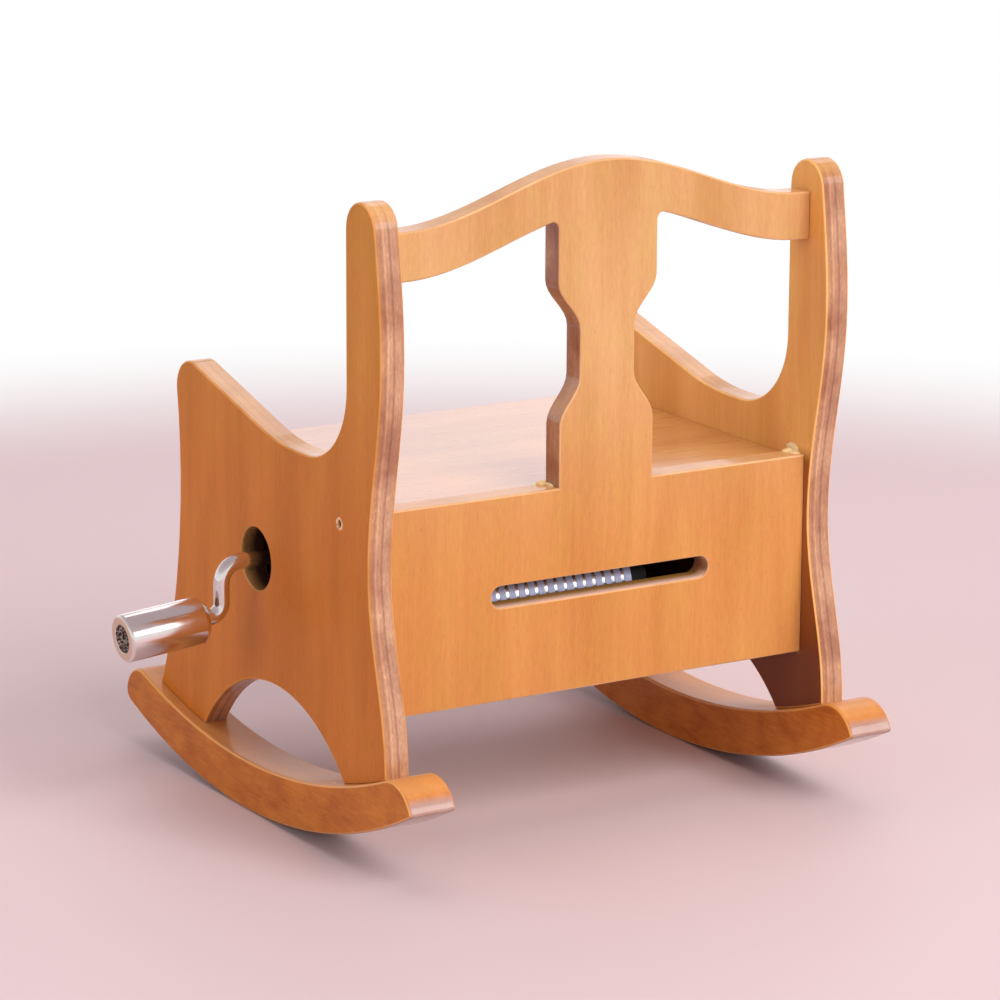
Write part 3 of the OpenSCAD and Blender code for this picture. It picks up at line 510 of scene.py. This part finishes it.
# %% Reading an outline
def outlines(node, axis):
    """The loops of points, in mm, round the flat face at the high end of axis. Each loop runs
    with the wood on its left."""
    mesh = nodes[node].data
    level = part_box(node)[1][axis]
    flat = [a for a in range(3) if a != axis]
    corner = [tuple(round(v.co[a] / mm, 4) for a in flat) if abs(v.co[axis] - level) < 1e-6
              else None for v in mesh.vertices]
    sides = Counter()
    for face in mesh.polygons:
        ring = [corner[v] for v in face.vertices]
        if None not in ring and len(set(ring)) > 2:
            sides.update(zip(ring, ring[1:] + ring[:1]))
    follow = {a: b for a, b in sides if (b, a) not in sides}
    loops = []
    while follow:
        loop = [next(iter(follow))]
        while loop[-1] in follow:
            loop.append(follow.pop(loop[-1]))
        loops.append(loop[:-1])
    loops.sort(key=lambda loop: -abs(area(loop)))
    if area(loops[0]) < 0:
        loops = [loop[::-1] for loop in loops]
    return loops


def area(loop):
    return sum(a[0] * b[1] - b[0] * a[1] for a, b in zip(loop, loop[1:] + loop[:1])) / 2


panel_loops = outlines("side_panel_crank", 0)
print("crank side panel:", [len(loop) for loop in panel_loops], "points, holes:",
      len(panel_loops) - 1)

# %% [markdown]
# ## Cutting a board: its rounded rim
# The board is built again in rings: a quarter round, the straight edge and another quarter
# round. At each corner of the outline the rim either turns smoothly or has a crease, and the
# way it looks is known exactly for both. That is written into the mesh, so that light runs
# round the rim without a break.

# %% The rim of a board
def corners(loop, sharp=radians(28)):
    """For each point of a loop: the way to move it into the wood, and the two directions in
    which the edges before and after it face, made equal where the outline is smooth."""
    faces = []
    for (ax, ay), (bx, by) in zip(loop, loop[1:] + loop[:1]):
        length = hypot(bx - ax, by - ay)
        faces.append(Vector(((by - ay) / length, (ax - bx) / length)))
    result = []
    for before, after in zip(faces[-1:] + faces[:-1], faces):
        middle = (before + after).normalized()
        inward = -middle / max(0.35, middle.dot(after))
        result.append((inward, middle, middle) if before.angle(after) < sharp
                      else (inward, before, after))
    return result


def rim_rings(low, high, radius, steps=4):
    """The rings of a rim: the level of each, how far it lies inside the outline, and how much
    it looks along the board's thickness and away from the board."""
    bend = [radians(90 * k / steps) for k in range(steps + 1)]
    rings = [(low + radius * (1 - cos(a)), radius * (1 - sin(a)), -cos(a), sin(a)) for a in bend]
    rings += [(high - radius * (1 - cos(a)), radius * (1 - sin(a)), cos(a), sin(a))
              for a in bend[::-1]]
    return rings


def shaped_mesh(name, spots, faces, ways):
    """A mesh object whose face corners face the given ways."""
    mesh = bpy.data.meshes.new(name)
    mesh.from_pydata(spots, [], faces)
    mesh.shade_smooth()
    mesh.normals_split_custom_set([way for ring in ways for way in ring])
    piece = bpy.data.objects.new(name, mesh)
    bpy.context.scene.collection.objects.link(piece)
    return piece


creases = sum(before != after for loop in panel_loops for _, before, after in corners(loop))
panel_rings = rim_rings(*thickness("side_panel_crank", 0), 0.35)
print("creases round the crank side panel:", creases, "- rings in its rim:", len(panel_rings))

# %% [markdown]
# ## Cutting a board: the whole board
# The rings of all the loops are joined by quads, and the two flat faces are filled with
# triangles. The faces need no finer mesh, because the grain is in the finish.

# %% Building a board
def board(name, loops, axis, low, high, radius, hole_share):
    """A board with rounded edges. loops are its outlines, and low to high its thickness. The
    rims of its holes are rounded by hole_share of the radius."""
    flat = [a for a in range(3) if a != axis]

    def point(pair, level):
        spot = [0, 0, 0]
        spot[axis] = level
        spot[flat[0]], spot[flat[1]] = pair
        return Vector(spot)

    rings = rim_rings(low, high, radius)
    shaped = [(loop, corners(loop)) for loop in loops]
    starts = [sum(len(loop) for loop in loops[:k]) for k in range(len(loops))]
    count = sum(len(loop) for loop in loops)
    spots, faces, ways = [], [], []
    for level, inset, _, _ in rings:
        for loop, ends in shaped:
            share = inset * (1 if loop is loops[0] else hole_share)
            spots += [point((p[0] + e[0][0] * share, p[1] + e[0][1] * share), level) * mm
                      for p, e in zip(loop, ends)]
    for turn in range(len(rings) - 1):
        for start, (loop, ends) in zip(starts, shaped):
            for i in range(len(loop)):
                j = (i + 1) % len(loop)
                quad = [(turn, i, 2), (turn, j, 1), (turn + 1, j, 1), (turn + 1, i, 2)]
                if axis == 1:
                    quad.reverse()
                faces.append([t * count + start + k for t, k, _ in quad])
                ways.append([point(ends[k][s] * rings[t][3], rings[t][2]) for t, k, s in quad])
    for turn, side in ((0, -1), (len(rings) - 1, 1)):
        cut = [[Vector((*(spots[turn * count + start + k][a] for a in flat), 0))
                for k in range(len(loop))] for start, loop in zip(starts, loops)]
        for triangle in tessellate_polygon(cut):
            one, two, three = (spots[turn * count + k] for k in triangle)
            if (two - one).cross(three - one)[axis] * side < 0:
                triangle = triangle[::-1]
            faces.append([turn * count + k for k in triangle])
            ways.append([point((0, 0), side)] * 3)
    return shaped_mesh(name, spots, faces, ways)


print("points in the crank side panel:",
      len(panel_rings) * sum(len(loop) for loop in panel_loops))

# %% [markdown]
# ## The boards of the chair
# Each board rides on the chair and stands for its node of the construction model, so only one
# of the two is seen. Its radius is how round sandpaper left the edges, in mm. Holes were only
# touched by the sandpaper, and the slot of the back panel was rounded more.

# %% The boards of the chair
def dress(piece, material, body, slot, *replaced):
    """Give a piece its finish and its body, and hide the nodes it stands for. slot is not used.
    """
    piece.data.materials.append(material)
    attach(piece, body)
    if replaced:
        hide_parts(*replaced)
    return piece


def cut_board(node, axis, radius, material, slot, hole_share=0.3):
    piece = board(node + "_wood", outlines(node, axis), axis, *thickness(node, axis), radius,
                  hole_share)
    return dress(piece, material, "chair", slot, node)


boards = [
    cut_board("side_panel_crank", 0, 0.35, panel_ply["side_panel_crank"], "panel_ply"),
    cut_board("side_panel_far", 0, 0.35, panel_ply["side_panel_far"], "panel_ply"),
    cut_board("rocker_crank", 0, 0.45, rocker_wood, "rocker_wood"),
    cut_board("rocker_far", 0, 0.45, rocker_wood, "rocker_wood"),
    cut_board("back_panel", 1, 0.3, back_ply, "back_ply", 0.8),
    cut_board("seat_board", 2, 0.4, seat_ply, "back_ply"),
    cut_board("front_board", 1, 0.4, front_ply, "back_ply"),
    cut_board("bottom_board", 2, 0.2, floor_ply, "back_ply"),
]
print("boards:", {piece.name: len(piece.data.polygons) for piece in boards})

# %% [markdown]
# ## Metal and plastic finishes
# The crank and its knob are nickel plated: bright, a little warm, and never a perfect mirror.
# The rest of the movement is plain steel, zinc, brass and moulded plastic, which only shows
# through the slot and from below. One function makes nearly all the metals: the roughness
# breaks up a little, and fine scratches catch the light. A turned piece has its scratches
# along its axis, and its flat ends are painted tan as a painted reflection.

# %% Metal and plastic finishes
def metal(name, colour, rough, scratch=0.004, marks=(0.5, 0.5, 0.5)):
    material, tree, shader, place = finish(name)
    shader.inputs["Metallic"].default_value = 1
    cloud = noise(tree, place, (1.6, 1.6, 1.6), 3)
    tree.links.new(blend(tree, cloud, tuple(0.9 * c for c in colour), colour),
                   shader.inputs["Base Color"])
    tree.links.new(sums(tree, "MULTIPLY_ADD", cloud, 0.12, rough - 0.05),
                   shader.inputs["Roughness"])
    wear(tree, shader, noise(tree, place, marks, 4, 0.6), scratch)
    return material


def turned_metal(name, colour, end_reflection, rough):
    """Metal with fine lines along the turning axis, Z, and a painted reflection on its flat ends.
    """
    material = metal(name, colour, rough, 0.0025, (0.22, 0.22, 4))
    tree = material.node_tree
    shader = tree.nodes["Principled BSDF"]
    plate = shader.inputs["Base Color"].links[0].from_socket
    # Painted reflection: the flat ends take a tan colour.
    end = ramp(tree, facing(tree, 2), (0.90, 0.0), (0.98, 1.0))
    tree.links.new(blend(tree, end, plate, end_reflection), shader.inputs["Base Color"])
    return material


def plastic(name, colour, rough):
    material, tree, shader, place = finish(name)
    cloud = noise(tree, place, (2.5, 2.5, 2.5), 2)
    tree.links.new(blend(tree, cloud, tuple(0.92 * c for c in colour), colour),
                   shader.inputs["Base Color"])
    shader.inputs["Roughness"].default_value = rough
    wear(tree, shader, noise(tree, place, (0.12, 0.12, 0.12), 2), 0.004)
    return material


nickel = metal("nickel plate", (0.80, 0.76, 0.74), 0.12, 0.003, (3, 1.2, 1.2))
# Its third colour is a painted reflection on the knob's flat ends.
turned_nickel = turned_metal("turned nickel plate", (0.84, 0.78, 0.76), (0.74, 0.56, 0.42), 0.15)
steel = metal("bright steel", (0.66, 0.66, 0.68), 0.3)
polished_steel = metal("polished steel", (0.85, 0.85, 0.86), 0.16)
dark_steel = metal("dark steel", (0.16, 0.15, 0.14), 0.5)
zinc = metal("zinc casting", (0.50, 0.49, 0.47), 0.48, 0.02, (0.25, 0.25, 0.25))
brass = metal("brass", (0.78, 0.58, 0.26), 0.28)
lead = metal("lead", (0.24, 0.25, 0.28), 0.6, 0.01)
white_plastic = plastic("white gear plastic", (0.80, 0.79, 0.74), 0.45)
black_plastic = plastic("black plastic", (0.006, 0.006, 0.007), 0.5)
print("materials so far:", len(bpy.data.materials))

# %% [markdown]
# ## Two duller finishes
# The cylinder is steel that plating left matt and blue-grey, so it is only half metallic and
# keeps a colour of its own. The inside of the knob gets a dark finish with bright grains,
# which a sharp ramp cuts out of a noise.

# %% Cylinder steel and the knob's bore
def cloudy_steel(name, dark, light):
    material, tree, shader, place = finish(name)
    cloud = noise(tree, place, (1.5, 1.5, 1.5), 3)
    tree.links.new(blend(tree, cloud, dark, light), shader.inputs["Base Color"])
    shader.inputs["Metallic"].default_value = 0.55
    tree.links.new(sums(tree, "MULTIPLY_ADD", cloud, 0.1, 0.38), shader.inputs["Roughness"])
    wear(tree, shader, noise(tree, place, (0.3, 0.3, 0.3), 3), 0.004)
    return material


def speckled(name, dark, grains):
    material, tree, shader, place = finish(name)
    grain = noise(tree, place, (0.35, 0.35, 0.35), 2)
    tree.links.new(ramp(tree, grain, (0.44, dark), (0.60, grains)), shader.inputs["Base Color"])
    shader.inputs["Metallic"].default_value = 0.3
    shader.inputs["Roughness"].default_value = 0.4
    wear(tree, shader, grain, 0.04)
    return material


drum_steel = cloudy_steel("blue-grey cylinder steel", (0.55, 0.58, 0.85), (0.68, 0.71, 0.97))
bore_steel = speckled("speckled bore", (0.07, 0.04, 0.03), (0.90, 0.78, 0.72))
print("dull finishes:", drum_steel.name, "and", bore_steel.name)

# %% [markdown]
# ## Dressing the kept pieces
# The nails and the pieces of the movement have their true shape in the construction model,
# down to the teeth and pins, so they are kept and only get a finish each.

# %% Dressing the kept pieces
finishes = {
    "nails": dark_steel, "bedplate": zinc, "drum_bracket": black_plastic,
    "gear_bracket": steel, "bracket_screws": steel, "mount_screws": steel, "comb": steel,
    "comb_weights": lead, "comb_screws": steel, "wheel_stud": steel, "wheel": white_plastic,
    "drum": drum_steel, "drum_plug": white_plastic, "drum_gear": white_plastic,
    "arbor": steel, "crank_pinion": brass, "crank_collar": steel, "knob_ring": dark_steel,
}
for name, material in finishes.items():
    mesh = nodes[name].data
    mesh.materials.clear()
    mesh.materials.append(material)
print("nodes dressed:", len(finishes))

# %% [markdown]
# ## Crank
# The crank is one nickel-plated wire, bent twice. A curve that is given a round section is the
# closest thing to bending wire: the path has the bends as arcs, and Blender sweeps the
# section along it. The path is worked out from the two hinges of the frame, so the wire runs
# exactly through its bearing and into the knob.

# %% Crank
wire_r = 1.1
bend_top_r, bend_low_r = 2.8, 1.9
knob_gap, pin_inside = 1.1, 2
pin_root = Vector(joints["knob_spin"]["pos_m"]) / mm
pin_way = Vector(joints["knob_spin"]["axis"])
lean = -pin_way.z
low_reach = bend_low_r * tan((pi / 2 - lean) / 2)
knob_start = pin_root + pin_way * (low_reach + knob_gap)


def arc(middle, radius, start, turn, steps=14):
    """Points on an arc in the crank's plane, angles measured from +X towards +Z."""
    return [middle + radius * Vector((cos(a), 0, sin(a)))
            for a in (start + turn * k / steps for k in range(steps + 1))]


low_middle = pin_root + Vector((bend_low_r, 0, low_reach))
path = [Vector((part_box("crank")[0][0] / mm, shaft.y, shaft.z))]
path += arc(shaft + Vector((-bend_top_r, 0, -bend_top_r)), bend_top_r, pi / 2, -pi / 2)
path += arc(low_middle, bend_low_r, pi, pi / 2 - lean)
path.append(knob_start + pin_way * pin_inside)

curve = bpy.data.curves.new("crank_wire", "CURVE")
curve.dimensions = "3D"
curve.bevel_depth = wire_r * mm
curve.bevel_resolution = 8
curve.use_fill_caps = True
spline = curve.splines.new("POLY")
spline.points.add(len(path) - 1)
for spot, target in zip(spline.points, path):
    spot.co = (*(target * mm), 1)
wire = bpy.data.objects.new("crank_wire", curve)
bpy.context.scene.collection.objects.link(wire)
dress(wire, nickel, "crank", "nickel", "crank")
print("wire length in mm:", round(sum((b - a).length for a, b in zip(path, path[1:])), 1))

# %% [markdown]
# ## A lathe
# Round pieces are turned on a lathe from a profile, and this cell does the same: the profile is
# a list of (along, radius) pairs that is spun round an axis. Every corner gets a tiny round
# first, so that it catches a line of light.

# %% A lathe
def turned(name, profile, origin, way, around=96):
    """Spin a closed profile of (along, radius) pairs in mm round the piece's own Z axis, and
    lay that axis along the line origin + way."""
    spots, faces = [], []
    for k in range(around):
        angle = 2 * pi * k / around
        spots += [Vector((radius * cos(angle), radius * sin(angle), along)) * mm
                  for along, radius in profile]
    count = len(profile)
    for k in range(around):
        for i in range(count):
            j = (i + 1) % count
            here, there = k * count, (k + 1) % around * count
            faces.append((here + i, here + j, there + j, there + i))
    mesh = bpy.data.meshes.new(name)
    mesh.from_pydata(spots, [], faces)
    mesh.shade_smooth()
    piece = bpy.data.objects.new(name, mesh)
    piece.matrix_world = (Matrix.Translation(origin * mm)
                          @ way.to_track_quat("Z", "Y").to_matrix().to_4x4())
    bpy.context.scene.collection.objects.link(piece)
    return piece


def rounded(profile, radius, steps=3):
    """Round every corner of a closed profile."""
    result = []
    for before, here, after in zip(profile[-1:] + profile[:-1], profile,
                                   profile[1:] + profile[:1]):
        spot = Vector(here)
        to_before, to_after = Vector(before) - spot, Vector(after) - spot
        start = spot + to_before.normalized() * min(radius, to_before.length * 0.45)
        end = spot + to_after.normalized() * min(radius, to_after.length * 0.45)
        for k in range(steps + 1):
            t = k / steps
            result.append(tuple((1 - t) ** 2 * start + 2 * t * (1 - t) * spot + t * t * end))
    return result


square = [(0, 1), (0, 2), (1, 2), (1, 1)]
print("a square profile has", len(square), "points, and rounded", len(rounded(square, 0.1)))

# %% [markdown]
# ## Knob
# The knob is a turned tube with a narrow bore for the crank's pin and a wider mouth. Its back
# edge has a wide chamfer and its front edge a narrow one. The faces of the bore get the dark
# speckled finish.

# %% Knob
knob_l, knob_r, mouth_r, mouth_l, bore_r = 12.1, 3.25, 1.95, 4.0, 1.05
back_chamfer, front_chamfer, tiny_round = 0.8, 0.3, 0.12
knob_profile = [(0, bore_r), (0, knob_r - back_chamfer), (back_chamfer, knob_r),
                (knob_l - front_chamfer, knob_r), (knob_l, knob_r - front_chamfer),
                (knob_l, mouth_r), (knob_l - mouth_l, mouth_r), (knob_l - mouth_l, bore_r)]
knob = turned("knob_tube", rounded(knob_profile, tiny_round), knob_start, pin_way)
dress(knob, turned_nickel, "knob", "nickel", "knob")
knob.data.materials.append(bore_steel)
for face in knob.data.polygons:
    middle = face.center / mm
    face.material_index = int(hypot(middle.x, middle.y) < mouth_r + 0.02)
print("knob: faces", len(knob.data.polygons), "lean", round(degrees(lean), 2))

# %% [markdown]
# ## Glue
# Where the boards meet, a little glue was squeezed out and dried as pale beads. They are small,
# but without them the joints look computed. Each bead is a few squashed balls run together,
# so the cell works out the points of each ball and joins them all into one mesh.

# %% Glue beads
def beads(name, drops, around=12, rings=6):
    """One mesh of low balls. Each drop is (x, y, z, three radii) in mm."""
    spots, faces = [], []
    for x, y, z, *radii in drops:
        start = len(spots)
        for k in range(rings + 1):
            tilt = pi * k / rings
            for j in range(around):
                turn = 2 * pi * j / around
                way = (sin(tilt) * cos(turn), sin(tilt) * sin(turn), cos(tilt))
                spots.append(Vector([a + b * c for a, b, c in zip((x, y, z), radii, way)]) * mm)
        for ring in range(start, start + rings * around, around):
            for j in range(around):
                after = (j + 1) % around
                faces.append((ring + j, ring + around + j, ring + around + after, ring + after))
    mesh = bpy.data.meshes.new(name)
    mesh.from_pydata(spots, [], faces)
    mesh.shade_smooth()
    piece = bpy.data.objects.new(name, mesh)
    bpy.context.scene.collection.objects.link(piece)
    return piece


def dried_glue():
    material, tree, shader, place = finish("dried glue")
    cloud = noise(tree, place, (0.4, 0.4, 0.4), 3)
    tree.links.new(blend(tree, cloud, (0.78, 0.50, 0.20), (0.98, 0.80, 0.46)),
                   shader.inputs["Base Color"])
    shader.inputs["Roughness"].default_value = 0.35
    shader.inputs["Subsurface Weight"].default_value = 0.3
    shader.inputs["Subsurface Scale"].default_value = 0.4 * mm
    wear(tree, shader, cloud, 0.08)
    return material


bead_level, splat_side, wall = 47.3, 6.75, 32.5
glue = beads("glue_beads", [
    # Where the splat meets the seat.
    (splat_side + 0.6, 27.4, bead_level + 0.2, 0.9, 0.7, 0.55),
    (splat_side + 1.2, 27.1, bead_level, 0.9, 0.5, 0.35),
    (splat_side + 0.2, 28.6, bead_level + 0.2, 0.4, 1.0, 0.35),
    # Where the back panel meets the far panel.
    (-wall + 0.1, 28.0, bead_level + 0.4, 0.3, 1.5, 0.9),
    (-wall + 0.7, 28.0, bead_level + 0.15, 1.1, 0.9, 0.45),
    (-wall + 0.5, 29.2, bead_level + 0.1, 0.8, 1.1, 0.35),
    # Where the feet stand on the rockers.
    (wall + 2.6, 29.7, 11.0, 0.9, 0.45, 0.35), (wall + 1.2, 29.9, 10.9, 0.8, 0.4, 0.3),
    (-wall - 0.6, 29.8, 10.9, 0.6, 0.4, 0.35), (-wall - 2.4, 29.7, 11.0, 0.7, 0.4, 0.3),
    (wall + 3.4, 26.0, 9.9, 0.3, 1.0, 0.25), (wall + 3.4, 22.5, 9.2, 0.3, 0.8, 0.25),
    (wall + 3.4, -26.0, 9.8, 0.3, 1.1, 0.25),
])
dress(glue, dried_glue(), "chair", "rocker_wood")
print("glue: points", len(glue.data.vertices))

# %% [markdown]
# ## Rims of the nail holes
# The nails were driven in after the lacquer had dried, so it chipped away round each hole and
# left a ring of raw wood. The ring is a low turned piece set into the panel's face, because
# that needs only the profile and the lathe of the knob.

# %% Rims of the nail holes
def raw_wood():
    material, tree, shader, place = finish("raw wood round a nail")
    cloud = noise(tree, place, (0.5, 0.5, 0.5), 3)
    tree.links.new(ramp(tree, cloud, (0.38, (0.55, 0.26, 0.10)), (0.55, (0.95, 0.62, 0.36))),
                   shader.inputs["Base Color"])
    shader.inputs["Roughness"].default_value = 0.6
    wear(tree, shader, cloud, 0.05)
    return material


nail_low, nail_high = (Vector(corner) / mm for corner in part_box("nails"))
nail_spot = (nail_low + nail_high) / 2
chip_profile = [(-0.15, 0.50), (-0.15, 0.95), (0.04, 0.86), (0.04, 0.58)]
chips = raw_wood()
for side, outer in (("crank", thickness("side_panel_crank", 0)[1]),
                    ("far", thickness("side_panel_far", 0)[0])):
    spot = Vector((outer, nail_spot.y, nail_spot.z))
    ring = turned("nail_rim_" + side, rounded(chip_profile, 0.05), spot,
                  Vector((1 if outer > 0 else -1, 0, 0)), 32)
    dress(ring, chips, "chair", "panel_ply")
print("nail rims stand at", [round(v, 2) for v in nail_spot.yz], "in mm")

# %% [markdown]
# ## Tracks between the notes
# Each tooth of the comb has its own ring of pins on the cylinder, and a turned groove parts
# it from the next. The grooves were polished by the tool that cut them, while the rings stay
# matt. A thin bright sleeve inside the cylinder's wall is enough for that: it shows only
# where the wall is cut away, so all the grooves are filled to the same shallow depth at once.

# %% Tracks between the notes
(start, *_), (stop, *_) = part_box("drum")
sleeve_inset, sleeve_r, sleeve_wall = 0.3, 6.16, 0.2
sleeve_l = (stop - start) / mm - 2 * sleeve_inset
sleeve_start = Vector(joints["cylinder_spin"]["pos_m"]) / mm
sleeve_start.x = start / mm + sleeve_inset
sleeve_profile = [(0, sleeve_r - sleeve_wall), (0, sleeve_r), (sleeve_l, sleeve_r),
                  (sleeve_l, sleeve_r - sleeve_wall)]
sleeve = turned("drum_tracks", rounded(sleeve_profile, 0.08), sleeve_start, Vector((1, 0, 0)),
                160)
dress(sleeve, polished_steel, "cylinder", "drum_steel")
print("tracks: sleeve of", round(sleeve_l, 2), "mm, radius", sleeve_r)

# %% [markdown]
# ## Table
# A toy this small is shown best on a plain pale table. The table is one disc that turns white
# far from the chair, so there is no horizon line. That white belongs to what the camera sees
# only, so it adds no light.

# %% Table
def pale_table(white_from, white_at):
    """A pale table that turns white for the camera between two distances, in mm."""
    material, tree, shader, place = finish("pale table")
    shader.inputs["Base Color"].default_value = (0.65, 0.51, 0.52, 1)
    shader.inputs["Roughness"].default_value = 0.6
    away = add(tree, "ShaderNodeVectorMath", place, operation="LENGTH").outputs["Value"]
    far = between(tree, away, white_from, white_at, interpolation_type="SMOOTHSTEP")
    seen = add(tree, "ShaderNodeLightPath").outputs["Is Camera Ray"]
    glow = add(tree, "ShaderNodeEmission", (1, 1, 1, 1), 1)
    mix = add(tree, "ShaderNodeMixShader", sums(tree, "MULTIPLY", far, seen))
    tree.links.new(shader.outputs[0], mix.inputs[1])
    tree.links.new(glow.outputs[0], mix.inputs[2])
    tree.links.new(mix.outputs[0], tree.nodes["Material Output"].inputs["Surface"])
    return material


table_r, rim_points = 1.6, 96
turns = [2 * pi * k / rim_points for k in range(rim_points)]
floor_mesh = bpy.data.meshes.new("table")
floor_mesh.from_pydata([(table_r * cos(a), table_r * sin(a), 0) for a in turns], [],
                       [list(range(rim_points))])
floor = bpy.data.objects.new("table", floor_mesh)
floor.data.materials.append(pale_table(190, 300))
bpy.context.scene.collection.objects.link(floor)
print("table:", table_r * 2, "m wide")

# %% [markdown]
# ## Lamps
# The light is soft and comes from large boxes: the strongest stands behind the chair, on the
# side that the camera looks from. The first three are hidden from mirrors, because a bright
# square on lacquer looks like a lamp. The other three are there to be mirrored, by the nickel,
# the lacquer and the cylinder.

# %% Lamps
chair_middle = Vector((0, 0, 0.04))


def softbox(name, spot, width, height, power, mirrored=True, colour=(1, 1, 1)):
    """A soft lamp at spot that looks at the middle of the chair."""
    lamp = bpy.data.lights.new(name, "AREA")
    lamp.shape = "RECTANGLE"
    lamp.size, lamp.size_y = width, height
    lamp.energy = power
    lamp.color = colour
    box = bpy.data.objects.new(name, lamp)
    box.location = spot
    box.rotation_euler = (Vector(spot) - chair_middle).to_track_quat("Z", "Y").to_euler()
    box.visible_camera, box.visible_glossy = False, mirrored
    bpy.context.scene.collection.objects.link(box)


softbox("large box behind the chair", (-0.15, 0.75, 0.65), 0.6, 0.5, 7.2, False)
softbox("box above", (0.0, -0.1, 0.9), 0.8, 0.8, 2.2, False)
softbox("side fill", (0.9, 0.05, 0.35), 0.5, 0.5, 1.9, False)
softbox("tall box behind the chair", (-0.50, 0.76, 0.48), 0.7, 0.36, 1.8)
softbox("screen in front", (-0.6, -1.0, 0.27), 1.3, 0.4, 0.8, True, (0.95, 0.80, 0.95))
softbox("box above the front", (-0.55, -0.65, 0.78), 0.7, 0.4, 1.2, True, (1, 0.93, 0.96))

print("lamps:", len(bpy.data.lights))

# %% [markdown]
# ## Room
# The room round the table adds an even light. It is bright round the horizon and dimmer
# overhead, so that metal has two tones to mirror. The camera sees it white.

# %% Room
world = bpy.data.worlds.new("studio")
bpy.context.scene.world = world
world.use_nodes = True
sky = world.node_tree
height = part_of(sky, add(sky, "ShaderNodeTexCoord").outputs["Generated"], 2)
room = ramp(sky, height, (0.0, 1.0), (0.30, 0.9), (0.5, (0.62, 0.52, 0.55)),
            (0.9, (0.50, 0.42, 0.45)))
ray = add(sky, "ShaderNodeLightPath").outputs
seen, mirrored = ray["Is Camera Ray"], ray["Is Glossy Ray"]
sky.links.new(blend(sky, seen, room, (1, 1, 1)), sky.nodes["Background"].inputs["Color"])
# The camera and the mirrors see the room in full, and the rest gets room_light of it.
room_light = 0.64
whole = sums(sky, "MAXIMUM", seen, mirrored)
sky.links.new(sums(sky, "MULTIPLY_ADD", whole, 1 - room_light, room_light),
              sky.nodes["Background"].inputs["Strength"])
bpy.context.scene.view_settings.view_transform = "Standard"
print("room light:", room_light)
